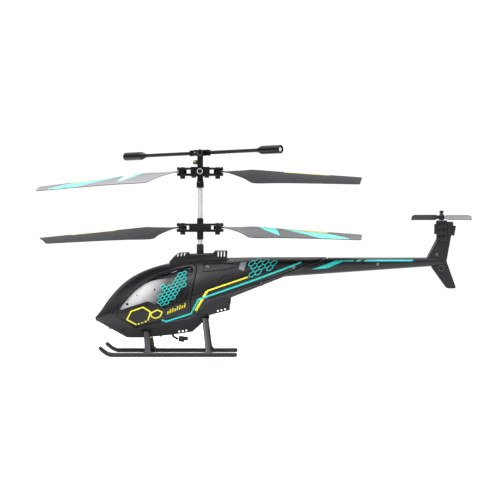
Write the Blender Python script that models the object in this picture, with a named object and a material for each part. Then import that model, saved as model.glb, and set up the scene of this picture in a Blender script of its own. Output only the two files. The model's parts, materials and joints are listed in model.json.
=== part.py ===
"""A palm-sized coaxial remote control helicopter, modelled as an assembly of named pieces.

Units: every length below is in millimetres and is turned into metres by MM when a mesh is made.
Frame: +Z up, the nose points to -X, the left side is -Y, and the skids stand on Z = 0.
The origin is on the ground under the middle of the object's bounding box.
"""

import math

import bmesh
import bpy
from mathutils import Matrix, Vector

MM = 0.001
GAP = 0.3  # between pieces that rest on each other
FIT = 0.15  # radial gap round a shaft or a screw

# ---------------------------------------------------------------- driving dimensions
MAST_X = -28.5
ROTOR_RADIUS = 84.0
TAIL_X = 97.0
TAIL_ROTOR_RADIUS = 15.5

UPPER_Z = 95.0  # feathering axis of the upper blades
LOWER_Z = 65.95  # middle of the lower blade roots
FLYBAR_Z = 104.7
FLYBAR_HALF = 54.0
FLYBAR_TURN = math.radians(-40)  # the flybar leads the upper blades by this angle
LOWER_TURN = math.radians(-5)  # the lower rotor's rest angle
BLADE_SCREW_R = 9.1  # from the mast axis to a blade's screw
LINK_Y = 5.2  # from the mast axis to the middle of a link

SKID_Y = 21.0
SKID_R = 1.02
SKID_Z = SKID_R * math.cos(math.pi / 8)  # the rails are eight-sided and stand on a flat
SHELL_WALL = 1.2

MODULE = 0.375  # gear tooth module
GEAR_TEETH = 40
PINION_TEETH = 8
MOTOR_OFFSET = MODULE * (GEAR_TEETH + PINION_TEETH) / 2

INNER_SHAFT_R = 0.8
OUTER_SHAFT_R = 1.2
OUTER_SHAFT_BORE = INNER_SHAFT_R + FIT

# ---------------------------------------------------------------- the body's lines, (x, z) or (x, y)
ROOF = [(-83.0, 19.3), (-80.2, 22.8), (-75.7, 29.2), (-68.9, 36.5), (-62.1, 41.3), (-54.2, 44.8),
        (-46.3, 47.1), (-38.0, 48.7), (-29.4, 49.7), (-14.2, 50.3), (15.0, 50.6), (42.0, 50.6)]
HALF_WIDTH = [(-83.0, 2.4), (-80.2, 5.6), (-75.0, 9.2), (-68.0, 12.3), (-60.0, 14.6), (-50.0, 16.0),
              (-40.0, 16.4), (-30.0, 15.6), (-20.0, 13.9), (-10.0, 11.8), (0.0, 9.8), (15.0, 7.4),
              (30.0, 6.0), (42.0, 5.4)]
BELT = [(-83.0, 18.9), (-75.0, 20.5), (-60.0, 22.5), (-40.0, 26.0), (-20.0, 33.0), (0.0, 40.5),
        (15.0, 44.0), (42.0, 46.5)]
KEEL = [(-83.0, 17.5), (-75.0, 13.0), (-66.0, 9.1), (-58.0, 9.1), (-44.0, 10.5), (-32.0, 13.0),
        (-20.0, 22.0), (-10.0, 30.5), (4.0, 36.2), (15.0, 40.5), (42.0, 42.0)]
# the pan's underside, with the step of its rear box, and the line where the shells meet the pan
UNDERSIDE = [(-83.0, 18.0), (-80.7, 17.0), (-75.7, 14.3), (-66.0, 9.1), (-58.8, 9.1), (-44.0, 10.5),
             (-32.2, 12.2), (-28.9, 15.1), (-23.2, 20.7), (-21.5, 21.2), (-13.1, 23.2), (-12.7, 29.6),
             (3.6, 36.0), (16.0, 40.8)]
SEAM = [(-83.0, 18.7), (-61.8, 14.5), (-48.0, 17.4), (-33.0, 20.2), (-24.1, 28.9), (3.8, 37.6)]
DIAGONAL = [(4.0, 36.2), (15.1, 40.5), (38.4, 50.3)]
PAN_END = 3.8
SHELL_END = 37.2
BOOM_START = 9.0
BOOM_END = 91.0

WINDOW = [(-70.9, 22.9), (-66.2, 29.0), (-62.5, 33.2), (-57.9, 36.8), (-53.8, 39.3), (-49.0, 41.6),
          (-40.1, 44.3), (-33.2, 45.7), (-31.6, 44.6), (-34.5, 29.0), (-46.2, 24.4), (-54.5, 28.2)]
SENSOR_WINDOW = [(-8.6, 44.6), (-7.6, 48.0), (-4.2, 48.4), (-5.7, 43.4)]


def linear(table, x):
    """Straight-line interpolation in a table of (x, value)."""
    if x <= table[0][0]:
        return table[0][1]
    for (x0, v0), (x1, v1) in zip(table, table[1:]):
        if x <= x1:
            return v0 + (v1 - v0) * (x - x0) / (x1 - x0)
    return table[-1][1]


def smooth(table, x):
    """Cubic interpolation in a table of (x, value), with limited slopes so that it never overshoots."""
    x = min(max(x, table[0][0]), table[-1][0])
    steps = [(b[1] - a[1]) / (b[0] - a[0]) for a, b in zip(table, table[1:])]

    def slope(i):
        if i in (0, len(table) - 1):
            return steps[min(i, len(steps) - 1)]
        before, after = steps[i - 1], steps[i]
        return 0.0 if before * after <= 0 else 2 * before * after / (before + after)

    for i, ((x0, v0), (x1, v1)) in enumerate(zip(table, table[1:])):
        if x <= x1:
            h = x1 - x0
            t = (x - x0) / h
            return (
                v0 * (1 + 2 * t) * (1 - t) ** 2
                + v1 * t * t * (3 - 2 * t)
                + h * slope(i) * t * (1 - t) ** 2
                - h * slope(i + 1) * t * t * (1 - t)
            )
    return table[-1][1]


def half_width(x, z, inset=0.0):
    """Half the body's width at a height, measured on a surface that lies inset inside the outer one."""
    widest = smooth(HALF_WIDTH, x) - inset
    belt = smooth(BELT, x)
    if z >= belt:
        rise = min(1.0, (z - belt) / (smooth(ROOF, x) - inset - belt))
        return widest * (1 - rise**2.2) ** 0.55
    fall = min(1.0, (belt - z) / (belt - smooth(KEEL, x)))
    return widest * (1 - 0.38 * fall**1.6)


def shell_edge(x):
    """Height of the shells' lower edge."""
    return linear(SEAM, x) if x < PAN_END + 0.1 else linear(DIAGONAL, x)


# ---------------------------------------------------------------- mesh helpers
def material(name, color, roughness=0.5, metallic=0.0, alpha=1.0):
    made = bpy.data.materials.new(name)
    made.use_nodes = True
    shader = made.node_tree.nodes["Principled BSDF"]
    shader.inputs["Base Color"].default_value = (*color, 1.0)
    shader.inputs["Roughness"].default_value = roughness
    shader.inputs["Metallic"].default_value = metallic
    shader.inputs["Alpha"].default_value = alpha
    made.diffuse_color = (*color, alpha)
    return made


def finish_mesh(name, bm, look, parent=None, smooth_angle=40):
    """Makes an object from a bmesh in millimetres, with its faces pointing out."""
    bmesh.ops.remove_doubles(bm, verts=bm.verts, dist=1e-4)
    bmesh.ops.recalc_face_normals(bm, faces=bm.faces)
    bmesh.ops.scale(bm, verts=bm.verts, vec=(MM, MM, MM))
    mesh = bpy.data.meshes.new(name)
    bm.to_mesh(mesh)
    bm.free()
    obj = bpy.data.objects.new(name, mesh)
    bpy.context.scene.collection.objects.link(obj)
    mesh.materials.append(look)
    mesh.shade_smooth()
    mesh.set_sharp_from_angle(angle=math.radians(smooth_angle))
    obj.parent = parent
    return obj


def add_rings(bm, rings, closed_ends=True):
    """Joins point rings of equal length into a skin, with flat end faces."""
    rows = [[bm.verts.new(p) for p in ring] for ring in rings]
    for a, b in zip(rows, rows[1:]):
        for i in range(len(a)):
            j = (i + 1) % len(a)
            bm.faces.new((a[i], a[j], b[j], b[i]))
    if closed_ends:
        bm.faces.new(rows[0])
        bm.faces.new(rows[-1][::-1])


def loft(name, rings, look, parent=None):
    bm = bmesh.new()
    add_rings(bm, rings)
    bmesh.ops.triangulate(bm, faces=[f for f in bm.faces if len(f.verts) == 4])
    return finish_mesh(name, bm, look, parent)


def add_turned(bm, profile, sides=16, centre=(0, 0, 0), axis="Z"):
    """Turns a closed profile of (radius, height) about an axis, with flat ends as single faces."""
    turn = {"Z": Matrix(), "X": Matrix.Rotation(math.pi / 2, 4, "Y"),
            "Y": Matrix.Rotation(-math.pi / 2, 4, "X")}[axis]
    place = Matrix.Translation(centre) @ turn
    rows = []
    for i, (r, z) in enumerate(profile):
        beside = (profile[i - 1], profile[(i + 1) % len(profile)])
        flat = any(other[0] > 0 and other[1] == z for other in beside)
        if r > 0:
            angles = [2 * math.pi * (k + 0.5) / sides for k in range(sides)]
            points = [place @ Vector((r * math.cos(t), r * math.sin(t), z)) for t in angles]
            rows.append([bm.verts.new(point) for point in points])
        else:
            rows.append(None if flat else [bm.verts.new(place @ Vector((0, 0, z)))] * sides)
    for i, a in enumerate(rows):
        b = rows[(i + 1) % len(rows)]
        if a is None or b is None:
            if len(set(a or b or [])) > 1:
                bm.faces.new(a or b)
            continue
        if len(set(a)) == len(set(b)) == 1:
            continue
        for k in range(sides):
            j = (k + 1) % sides
            bm.faces.new(tuple(dict.fromkeys((a[k], a[j], b[j], b[k]))))


def turned(name, profile, look, sides=16, centre=(0, 0, 0), axis="Z", parent=None):
    bm = bmesh.new()
    add_turned(bm, profile, sides, centre, axis)
    return finish_mesh(name, bm, look, parent)


def rod(radius, low, high):
    """Closed profile of a plain cylinder."""
    return [(0, low), (radius, low), (radius, high), (0, high)]


def ring(inner, outer, low, high):
    """Closed profile of a tube."""
    return [(inner, low), (outer, low), (outer, high), (inner, high)]


def add_box(bm, low, high, matrix=None):
    size = Vector(high) - Vector(low)
    middle = (Vector(high) + Vector(low)) / 2
    placed = Matrix.Translation(middle) @ Matrix.Diagonal((*size, 1))
    bmesh.ops.create_cube(bm, size=1, matrix=(matrix or Matrix()) @ placed)


def box(name, low, high, look, matrix=None, parent=None, bevel=0.0):
    bm = bmesh.new()
    add_box(bm, low, high, matrix)
    if bevel:
        bmesh.ops.bevel(bm, geom=bm.edges, offset=bevel, segments=1, affect="EDGES")
    return finish_mesh(name, bm, look, parent)


def prism(name, outline, y_low, y_high, look, parent=None):
    """An (x, z) outline extruded along Y."""
    rings = [[(x, y, z) for x, z in outline] for y in (y_low, y_high)]
    return loft(name, rings, look, parent)


def frame_along(direction):
    """Two unit vectors square to a direction."""
    direction = Vector(direction).normalized()
    side = direction.cross(Vector((0, 0, 1)))
    side = side.normalized() if side.length > 1e-4 else Vector((1, 0, 0))
    return side, side.cross(direction).normalized()


def tube_rings(path, radius, sides=8):
    """Rings of a round bar that follows a path."""
    rings = []
    for i, p in enumerate(path):
        before, after = path[max(i - 1, 0)], path[min(i + 1, len(path) - 1)]
        side, up = frame_along(Vector(after) - Vector(before))
        turns = [2 * math.pi * (k + 0.5) / sides for k in range(sides)]
        rings.append([Vector(p) + radius * (math.cos(t) * side + math.sin(t) * up) for t in turns])
    return rings


def bar_rings(start, end, wide, deep, end_scale=1.0):
    """Rings of a flat bar whose wide side lies along X."""
    start, end = Vector(start), Vector(end)
    along = Vector((1, 0, 0))
    across = (end - start).normalized().cross(along).normalized()
    rings = []
    for p, scale in ((start, 1.0), (end, end_scale)):
        a, b = along * wide / 2 * scale, across * deep / 2
        rings.append([p - a - b, p + a - b, p + a + b, p - a + b])
    return rings


def combine(obj, other, operation):
    """Adds a Boolean whose other object is a hidden helper."""
    other.hide_render = True
    other.display_type = "WIRE"
    modifier = obj.modifiers.new(operation.title() + " " + other.name, "BOOLEAN")
    modifier.operation = operation
    modifier.object = other
    modifier.solver = "EXACT"
    return obj


def join(obj, *others):
    for other in others:
        combine(obj, other, "UNION")
    return obj


def cut(obj, *cutters):
    for cutter in cutters:
        combine(obj, cutter, "DIFFERENCE")
    return obj


def empty(name, location, turn_z=0.0):
    made = bpy.data.objects.new(name, None)
    made.location = Vector(location) * MM
    made.rotation_euler = (0, 0, turn_z)
    bpy.context.scene.collection.objects.link(made)
    return made


def inset_outline(outline, distance):
    """Moves each side of a closed outline inwards."""
    turn = sum(a[0] * b[1] - b[0] * a[1] for a, b in zip(outline, outline[1:] + outline[:1]))
    side = 1 if turn > 0 else -1
    moved = []
    for i, here in enumerate(outline):
        a = Vector(here) - Vector(outline[i - 1])
        b = Vector(outline[(i + 1) % len(outline)]) - Vector(here)
        n1 = Vector((-a.y, a.x)).normalized() * side
        n2 = Vector((-b.y, b.x)).normalized() * side
        middle = (n1 + n2).normalized()
        moved.append(tuple(Vector(here) + middle * distance / max(0.35, middle.dot(n1))))
    return moved


# ---------------------------------------------------------------- body
SHELL_STATIONS = [-82.2, -80.0, -77.0, -73.5, -69.5, -65.0, -60.0, -54.5, -48.0, -41.0, -33.0, -28.5,
                  -24.1, -16.0, -8.0, 0.0, 3.7, 4.3, 10.0, 15.1, 22.0, 30.0, SHELL_END]


def body_wall(x):
    """Wall thickness, thinner where the shells taper to an edge."""
    return min(SHELL_WALL, 0.35 * (smooth(ROOF, x) - shell_edge(x)))


def shell_ring(x, side, inset, wall, edge, rows):
    """A C-shaped section from the roof's middle down to a lower edge."""
    ring_points = []
    for depth in (inset, inset + wall):
        top = smooth(ROOF, x) - depth
        column = []
        for k in range(rows + 1):
            z = top - (top - edge) * (k / rows) ** 1.8
            y = max(GAP / 2, half_width(x, z, depth))
            column.append((x, side * (GAP / 2 if k == 0 else y), z))
        ring_points.append(column)
    return ring_points[0] + ring_points[1][::-1]


def body_shell(name, side, look):
    rings = [shell_ring(x, side, 0.0, body_wall(x), shell_edge(x), 9) for x in SHELL_STATIONS]
    return loft(name, rings, look)


def window_pane(name, side, outline, stations, look):
    """A pane that follows the body's curve, a little below its surface."""
    low = min(z for _, z in outline) - 1
    rings = [shell_ring(x, side, 0.25, 0.7, low, 9) for x in stations]
    pane = loft(name, rings, look)
    blank = prism(name + "_blank", inset_outline(outline, GAP), side * 2, side * 30, look)
    return combine(pane, blank, "INTERSECT")


def pan_ring(x):
    """The pan's section: an open tub."""
    top = shell_edge(x) - GAP
    low = linear(UNDERSIDE, x)
    wall = min(SHELL_WALL, 0.4 * max(top - low, 0.2))

    def side_points(depth):
        return [(half_width(x, z, depth), z) for z in (top, (top + low + depth) / 2, low + depth)]

    outer, inner = side_points(0.0), side_points(wall)
    right_outer = [(x, y, z) for y, z in outer]
    left_outer = [(x, -y, z) for y, z in outer[::-1]]
    left_inner = [(x, -y, z) for y, z in inner]
    right_inner = [(x, y, z) for y, z in inner[::-1]]
    return right_outer + left_outer + left_inner + right_inner


def build_body(looks):
    shells = {}
    for side, word in ((-1, "left"), (1, "right")):
        shell = body_shell("fuselage_" + word, side, looks["shell"])
        hole = prism("window_hole_" + word, WINDOW, side * 2, side * 30, looks["shell"])
        slot = prism("sensor_hole_" + word, SENSOR_WINDOW, side * 2, side * 30, looks["shell"])
        bore = turned("mast_hole_" + word, rod(2.3, 40, 60), looks["shell"], 16, (MAST_X, 0, 0))
        shells[word] = cut(shell, hole, slot, bore)
        window_pane("window_" + word, side, WINDOW, [-75 + 4 * k for k in range(13)], looks["glass"])
        window_pane("sensor_window_" + word, side, SENSOR_WINDOW, [-11, -7, -2], looks["sensor"])
    for name, x, z in (("shell_screw_front", -24.6, 45.6), ("shell_screw_rear", 19.9, 45.3)):
        wide = half_width(x, z)
        cut(shells["left"], turned(name + "_hole", rod(1.15, -wide - 2, -wide + 3), looks["shell"], 12,
                                   (x, 0, z), "Y"))
        body_screw(name, x, z, wide, 0.9, looks["steel"])

    stations = [-82.0, -80.7, -77.5, -75.7, -71, -66, -61.8, -58.8, -52, -48, -44, -38, -33, -32.2, -28.9,
                -24.1, -23.2, -21.5, -17, -13.1, -12.7, -8, -4, 0, 3.4]
    pan = loft("belly_pan", [pan_ring(x) for x in stations], looks["pan"])
    for operation, reach, extra in ((join, (-1.3, 2.3), 1.2), (cut, (-0.3, 7.0), GAP)):
        for name, (top, foot, wide, deep) in STRUTS.items():
            for side in (-1, 1):
                start = Vector((top[0], side * top[1], top[2]))
                end = Vector((foot[0], side * foot[1], foot[2]))
                along = (end - start).normalized()
                rings = bar_rings(start + reach[0] * along, start + reach[1] * along, wide + 2 * extra,
                                  deep + 2 * extra)
                operation(pan, loft(f"{name}_{operation.__name__}_{side}", rings, looks["pan"]))
    for k in range(3):
        x, z = -38.9 + 1.85 * k, 12.55 + 0.25 * k
        cut(pan, box(f"belly_vent_{k}", (x - 0.5, -30, z - 0.5), (x + 0.5, 30, z + 0.55), looks["pan"]))
        x, z = -19.4 + 1.85 * k, 23.0 + 0.45 * k
        cut(pan, box(f"box_vent_{k}", (x - 0.45, -30, z - 0.3), (x + 0.45, 30, z + 0.7), looks["pan"]))
    cut(pan, box("switch_slot", (-64.6, -1.0, 7), (-60.4, 1.0, 12), looks["pan"]))
    cut(pan, box("lead_slot", (-44.6, -1.9, 8), (-41.4, 1.9, 13), looks["pan"]))
    led_place = Matrix.Translation((-75.0, 0, 14.4)) @ Matrix.Rotation(math.radians(-150), 4, "Y")
    bm = bmesh.new()
    add_turned(bm, rod(1.5, -4, 4), 12)
    bmesh.ops.transform(bm, matrix=led_place, verts=bm.verts)
    cut(pan, finish_mesh("led_hole", bm, looks["pan"]))
    bm = bmesh.new()
    add_turned(bm, [(0, -2.4), (1.15, -2.4), (1.15, 0.6), (0.9, 1.2), (0.45, 1.5), (0, 1.6)], 12)
    bmesh.ops.transform(bm, matrix=led_place, verts=bm.verts)
    finish_mesh("nose_led", bm, looks["led"])


def body_screw(name, x, z, surface, head_r, look):
    """A small screw driven in from the left side, with a cross slot in its head."""
    profile = [(0, -surface + 0.3), (head_r, -surface + 0.3), (head_r, -surface + 0.95),
               (0.45, -surface + 1.1), (0.45, -surface + 4.6), (0, -surface + 5.0)]
    screw = turned(name, profile, look, 12, (x, 0, z), "Y")
    slot_deep = -surface + 0.3
    cross = [box(f"{name}_slot_{k}", (x - w, slot_deep - 1, z - h), (x + w, slot_deep + 0.3, z + h), look)
             for k, (w, h) in enumerate(((0.62 * head_r, 0.13), (0.13, 0.62 * head_r)))]
    return cut(screw, *cross)


# the struts plug into the pan: top inside it, foot on the rail, width along X, depth
STRUTS = {"front": ((-55.9, 10.2, 13.5), (-54.5, SKID_Y, SKID_Z), 3.0, 1.7),
          "rear": ((-26.1, 9.4, 20.6), (-23.7, SKID_Y, SKID_Z), 2.7, 1.7)}
SKID_REAR_X = -9.6
SKID_BEND_X = -71.5
SKID_TIP = (-78.6, 4.4)


def skid_path(side):
    """The rail's centreline: straight, then curling up towards the nose."""
    path = [(SKID_REAR_X, side * SKID_Y, SKID_Z), (SKID_BEND_X, side * SKID_Y, SKID_Z)]
    rise = SKID_TIP[1] - SKID_Z
    for k in range(1, 6):
        t = k / 5
        path.append((SKID_BEND_X + (SKID_TIP[0] - SKID_BEND_X) * t, side * SKID_Y, SKID_Z + rise * t**1.7))
    return path


def build_skids(looks):
    for side, word in ((-1, "left"), (1, "right")):
        rail = loft("skid_" + word, tube_rings(skid_path(side), SKID_R, 8), looks["skid"])
        for name, (top, foot, wide, deep) in STRUTS.items():
            rings = bar_rings((top[0], side * top[1], top[2]), (foot[0], side * foot[1], foot[2]),
                              wide, deep)
            join(rail, loft(f"strut_{name}_{word}", rings, looks["skid"]))


# ---------------------------------------------------------------- mast cover and boom
def build_mast_cover(looks):
    """The raised cover round the mast, with slotted vents in front and behind."""
    line = [(-44.4, 48.6), (-41.4, 51.6), (-39.6, 53.0), (-34.4, 53.3), (-34.0, 52.4), (-21.4, 52.9),
            (-21.0, 54.2), (-14.6, 54.2), (-14.2, 53.8), (-14.2, 50.9)]
    rings = []
    for y, shrink in ((-5.4, 0.9), (-4.6, 0.0), (4.6, 0.0), (5.4, 0.9)):
        upper = [(x, y, z - shrink) for x, z in line]
        lower = [(x, y, smooth(ROOF, x) + GAP - 0.75 * shrink) for x in (-14.2, -24.0, -34.0, -44.6)]
        rings.append(upper + lower)
    cover = loft("mast_cover", rings, looks["shell"])
    cut(cover, turned("cover_bore", rod(2.1, 40, 60), looks["shell"], 16, (MAST_X, 0, 0)))
    for k in range(3):
        x = -19.25 + 1.95 * k
        cut(cover, box(f"rear_slot_{k}", (x - 0.5, -9, 51.2), (x + 0.5, 9, 53.8), looks["shell"]))
        x, z = -39.8 + 1.95 * k, 51.6 + 0.35 * k
        cut(cover, box(f"front_slot_{k}", (x - 0.45, -9, z - 0.45), (x + 0.45, 9, z + 0.55),
                       looks["shell"]))


def boom_section(x, wall):
    """A closed section of the boom, top to bottom, with a rounded roof and flatter flanks."""
    inside_shell = x < SHELL_END + 1.5
    if inside_shell:
        inset = body_wall(min(x, SHELL_END)) + GAP
        top, wide = smooth(ROOF, x) - inset - 0.15, smooth(HALF_WIDTH, x) - inset - 0.35
    else:
        top = 50.4
        wide = 4.4 + (2.5 - 4.4) * (x - SHELL_END) / (BOOM_END - SHELL_END)
    low = 40.4 + (45.8 - 40.4) * (x - 15) / (BOOM_END - 15)
    top, low, wide = top - wall, low + wall, wide - wall
    belt = low + 0.52 * (top - low)
    right = []
    for k in range(5):
        angle = math.radians(90 - 45 * k)
        up = math.sin(angle)
        z = belt + (top - belt) * up if up >= 0 else belt + (belt - low) * up
        y = wide * abs(math.cos(angle)) ** 0.7
        if inside_shell:
            y = min(y, half_width(x, z, inset + 0.15) - wall)
        right.append((max(0.0, y), z))
    return [(x, y, z) for y, z in right] + [(x, -y, z) for y, z in right[-2:0:-1]]


def build_boom(looks):
    stations = [BOOM_START, 15, 22, 30, SHELL_END + 1.2, SHELL_END + 1.8, 56, 74, BOOM_END]
    boom = loft("tail_boom", [boom_section(x, 0.0) for x in stations], looks["boom"])
    hollow = [boom_section(x, 1.0) for x in [BOOM_START - 2, *stations[1:4], 38, 56, 74, 88]]
    cut(boom, loft("boom_hollow", hollow, looks["boom"]))
    cut(boom, turned("rear_screw_hole", rod(0.75, -9, -2), looks["boom"], 12, (19.9, 0, 45.3), "Y"))
    x, z, wide = 63.6, 47.0, 3.35
    cut(boom, turned("boom_screw_hole", rod(1.05, -wide - 2, -wide + 3), looks["boom"], 12, (x, 0, z), "Y"))
    body_screw("boom_screw", x, z, wide, 0.8, looks["steel"])


# ---------------------------------------------------------------- tail
FIN = [(89.2, 50.6), (94.4, 60.3), (94.1, 69.4), (103.2, 68.9), (101.9, 61.6), (99.5, 48.4), (104.3, 35.1),
       (103.9, 34.3), (100.2, 34.3), (99.1, 34.9), (91.6, 45.4), (91.6, 50.6)]
FIN_HALF = 1.2
TAIL_BORE = 2.05
TAIL_HOUSING_R = 2.65


def build_tail(looks):
    fin = prism("tail_fin", FIN, -FIN_HALF, FIN_HALF, looks["boom"])
    cone = [boom_section(BOOM_END, 0.0)]
    first = [(p[0] + GAP, p[1], p[2]) for p in cone[0]]
    rings = [first]
    middle = 48.1
    for x, scale in ((95.5, 0.93), (97.8, 0.72), (98.9, 0.4)):
        rings.append([(x, p[1] * scale, middle + (p[2] - middle) * scale) for p in first])
    join(fin, loft("tail_cone", rings, looks["boom"]))
    join(fin, turned("motor_cradle", rod(TAIL_HOUSING_R, 59.2, 69.6), looks["boom"], 16, (TAIL_X, 0, 0)))
    join(fin, box("clip_front", (93.3, -1.9, 62.5), (95.0, 1.9, 67.8), looks["boom"]))
    tilt = Matrix.Translation((103.0, 0, 64.4)) @ Matrix.Rotation(math.radians(10), 4, "Y")
    join(fin, box("clip_rear", (-0.9, -1.9, -2.6), (0.9, 1.9, 2.6), looks["boom"], tilt))
    cut(fin, box("cover_space", (TAIL_X - 2.95, -4, 58.6), (TAIL_X + 2.95, -FIN_HALF + 0.001, 71),
                 looks["boom"]))
    cut(fin, turned("motor_bore", rod(TAIL_BORE, 60.2, 75), looks["boom"], 16, (TAIL_X, 0, 0)))
    place = (96.6, 0, 44.9)
    join(fin, turned("fin_screw_boss", rod(1.85, -1.9, 0), looks["boom"], 16, place, "Y"))
    cut(fin, turned("fin_screw_hole", rod(1.45, -4, -0.3), looks["boom"], 16, place, "Y"),
        turned("fin_screw_bore", rod(0.7, -2, 5), looks["boom"], 12, place, "Y"))
    body_screw("fin_screw", place[0], place[2], 1.9, 1.2, looks["black_screw"])

    cover_profile = [(TAIL_BORE + 0.05, 59.8)]
    for z in (60.2, 63.3, 66.4):
        cover_profile += [(2.45, z), (2.75, z + 0.6), (2.75, z + 2.0), (2.45, z + 2.6)]
    cover_profile += [(TAIL_BORE + 0.05, 69.4)]
    cover = turned("tail_motor_cover", cover_profile, looks["boom"], 16, (TAIL_X, 0, 0))
    cut(cover, box("cover_back", (TAIL_X - 6, -FIN_HALF - GAP, 55), (TAIL_X + 6, 6, 75), looks["boom"]))
    can = [(0.55, 60.6), (1.8, 60.6), (1.8, 69.0), (0.9, 69.0), (0.9, 69.4), (0.55, 69.4)]
    turned("tail_motor", can, looks["steel"], 16, (TAIL_X, 0, 0))

    axis = empty("tail_rotor_axis", (TAIL_X, 0, 0))
    side = [(0.4 + FIT, 69.9), (1.6, 69.9), (1.6, 72.0), (1.1, 72.9), (0.4 + FIT, 72.9)]
    hub = turned("tail_rotor", side, looks["rotor"], 16, parent=axis)
    for turn in (0, math.pi):
        rings = []
        for r, chord in ((0.9, 2.2), (3.0, 5.6), (TAIL_ROTOR_RADIUS - 1.1, 5.6), (TAIL_ROTOR_RADIUS, 3.6)):
            pitch = math.radians(-28)
            lean = 0.9 if r == TAIL_ROTOR_RADIUS else 0.0
            corners = [(lean - chord / 2, -0.3), (lean + chord / 2, -0.3), (lean + chord / 2, 0.3),
                       (lean - chord / 2, 0.3)]
            points = []
            for along, thick in corners:
                y = along * math.cos(pitch) - thick * math.sin(pitch)
                z = along * math.sin(pitch) + thick * math.cos(pitch)
                points.append(Matrix.Rotation(turn, 3, "Z") @ Vector((r, -y, z + 71.3)))
            rings.append(points)
        join(hub, loft(f"tail_blade_{turn:.0f}", rings, looks["rotor"], axis))
    cut(hub, turned("tail_hub_bore", rod(0.4 + FIT, 60, 72.9), looks["rotor"], 12, parent=axis))
    turned("tail_shaft", [(0, 61.2), (0.4, 61.2), (0.4, 73.1), (1.0, 73.3), (1.2, 74.1), (0.9, 74.8),
                          (0, 75.1)], looks["rotor"], 12, parent=axis)


# ---------------------------------------------------------------- power train inside the body
def gear_profile(teeth, phase):
    """Outline of a small moulded gear, with the teeth cut a little thin for running clearance."""
    pitch_r = MODULE * teeth / 2
    points = []
    for k in range(teeth):
        middle = 2 * math.pi * k / teeth + phase
        step = math.pi / teeth
        for r, share in ((pitch_r - 1.25 * MODULE, -0.68), (pitch_r + 0.85 * MODULE, -0.2),
                         (pitch_r + 0.85 * MODULE, 0.2), (pitch_r - 1.25 * MODULE, 0.68)):
            angle = middle + share * step
            points.append((r * math.cos(angle), r * math.sin(angle)))
    return points


def gear(name, teeth, phase, low, high, bore, look, parent):
    outline = gear_profile(teeth, phase)
    made = loft(name, [[(x, y, z) for x, y in outline] for z in (low, high)], look, parent)
    if bore:
        cut(made, turned(name + "_bore", rod(bore, low - 2, high + 2), look, 16, parent=parent))
    return made


def build_power_train(looks):
    frame = box("gear_frame", (-43.0, -5, 24.5), (-15.2, 5, 25.7), looks["frame"])
    join(frame, box("frame_top", (-43.0, -5, 35.0), (-15.2, 5, 36.2), looks["frame"]),
         box("frame_front", (-43.0, -5, 25.0), (-41.6, 5, 35.6), looks["frame"]),
         box("frame_back", (-16.6, -5, 25.0), (-15.2, 5, 35.6), looks["frame"]))
    cut(frame, turned("lower_seat", rod(1.7, 23, 27), looks["frame"], 16, (MAST_X, 0, 0)),
        turned("upper_seat", rod(1.9, 34, 38), looks["frame"], 16, (MAST_X, 0, 0)))
    turned("lower_bearing", ring(INNER_SHAFT_R + FIT, 1.55, 24.6, 25.6), looks["brass"], 16, (MAST_X, 0, 0))
    turned("upper_bearing", ring(OUTER_SHAFT_R + FIT, 1.75, 35.0, 36.2), looks["brass"], 16, (MAST_X, 0, 0))
    turned("mast_tube", ring(OUTER_SHAFT_R + 0.2, 1.74, 36.6, 57.3), looks["shell"], 16, (MAST_X, 0, 0))

    upper_axis = empty("upper_rotor_axis", (MAST_X, 0, 0))
    lower_axis = empty("lower_rotor_axis", (MAST_X, 0, 0))
    turned("inner_shaft", rod(INNER_SHAFT_R, 23.4, 93.5), looks["steel"], 16, parent=upper_axis)
    gear("inner_shaft_gear", GEAR_TEETH, 0, 27.0, 29.0, INNER_SHAFT_R + FIT, looks["gear"], upper_axis)
    turned("outer_shaft", ring(OUTER_SHAFT_BORE, OUTER_SHAFT_R, 30.2, 66.2), looks["shaft"], 16,
           parent=lower_axis)
    gear("outer_shaft_gear", GEAR_TEETH, math.pi / GEAR_TEETH, 31.0, 33.0, OUTER_SHAFT_R + FIT,
         looks["gear"], lower_axis)

    for word, side, low in (("front", -1, 31.0), ("rear", 1, 27.0)):
        x = MAST_X + side * MOTOR_OFFSET
        axis = empty(f"pinion_{word}_axis", (x, 0, 0))
        phase = math.pi / PINION_TEETH if side > 0 else 0
        pinion = gear(f"pinion_{word}", PINION_TEETH, phase, low - 0.2, low + 2.2, 0, looks["brass"], axis)
        shaft = rod(0.4, low - 0.4, 38.4)
        join(pinion, turned(f"motor_shaft_{word}", shaft, looks["brass"], 10, parent=axis))
        cut(frame, turned(f"motor_seat_{word}", rod(0.9, 34, 38), looks["frame"], 12, (x, 0, 0)))
        can = [(0, 45.4), (2.9, 45.4), (2.9, 36.5), (0.4 + FIT, 36.5), (0.4 + FIT, 38.8), (0, 38.8)]
        turned(f"motor_{word}", can, looks["steel"], 20, (x, 0, 0))

    box("battery", (-63.0, -7.0, 15.2), (-45.5, 7.0, 20.6), looks["battery"], bevel=0.8)
    box("circuit_board", (-64.0, -8.5, 21.2), (-45.5, 8.5, 22.2), looks["board"])
    insert_rings = []
    for k in range(8):
        t = k / 7
        x0 = -74.0 + 14.8 * t
        points = []
        for depth in (2.4, 3.3):
            column = []
            for row in range(9):
                share = (row / 8) ** 1.8
                x = x0
                for _ in range(3):  # the rear edge leans back, so x depends on z
                    top = smooth(ROOF, x) - depth
                    z = top - (top - 23.2) * share
                    x = x0 + 0.8 * t * (z - 23.2)
                column.append((x, half_width(x, z, depth), z))
            points.append(column)
        outer = [(x, -y, z) for x, y, z in points[0][:0:-1]] + [(points[0][0][0], 0, points[0][0][2])]
        outer += points[0][1:]
        inner = points[1][:0:-1] + [(points[1][0][0], 0, points[1][0][2])]
        inner += [(x, -y, z) for x, y, z in points[1][1:]]
        insert_rings.append(outer + inner)
    loft("cockpit_insert", insert_rings, looks["insert"])


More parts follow.
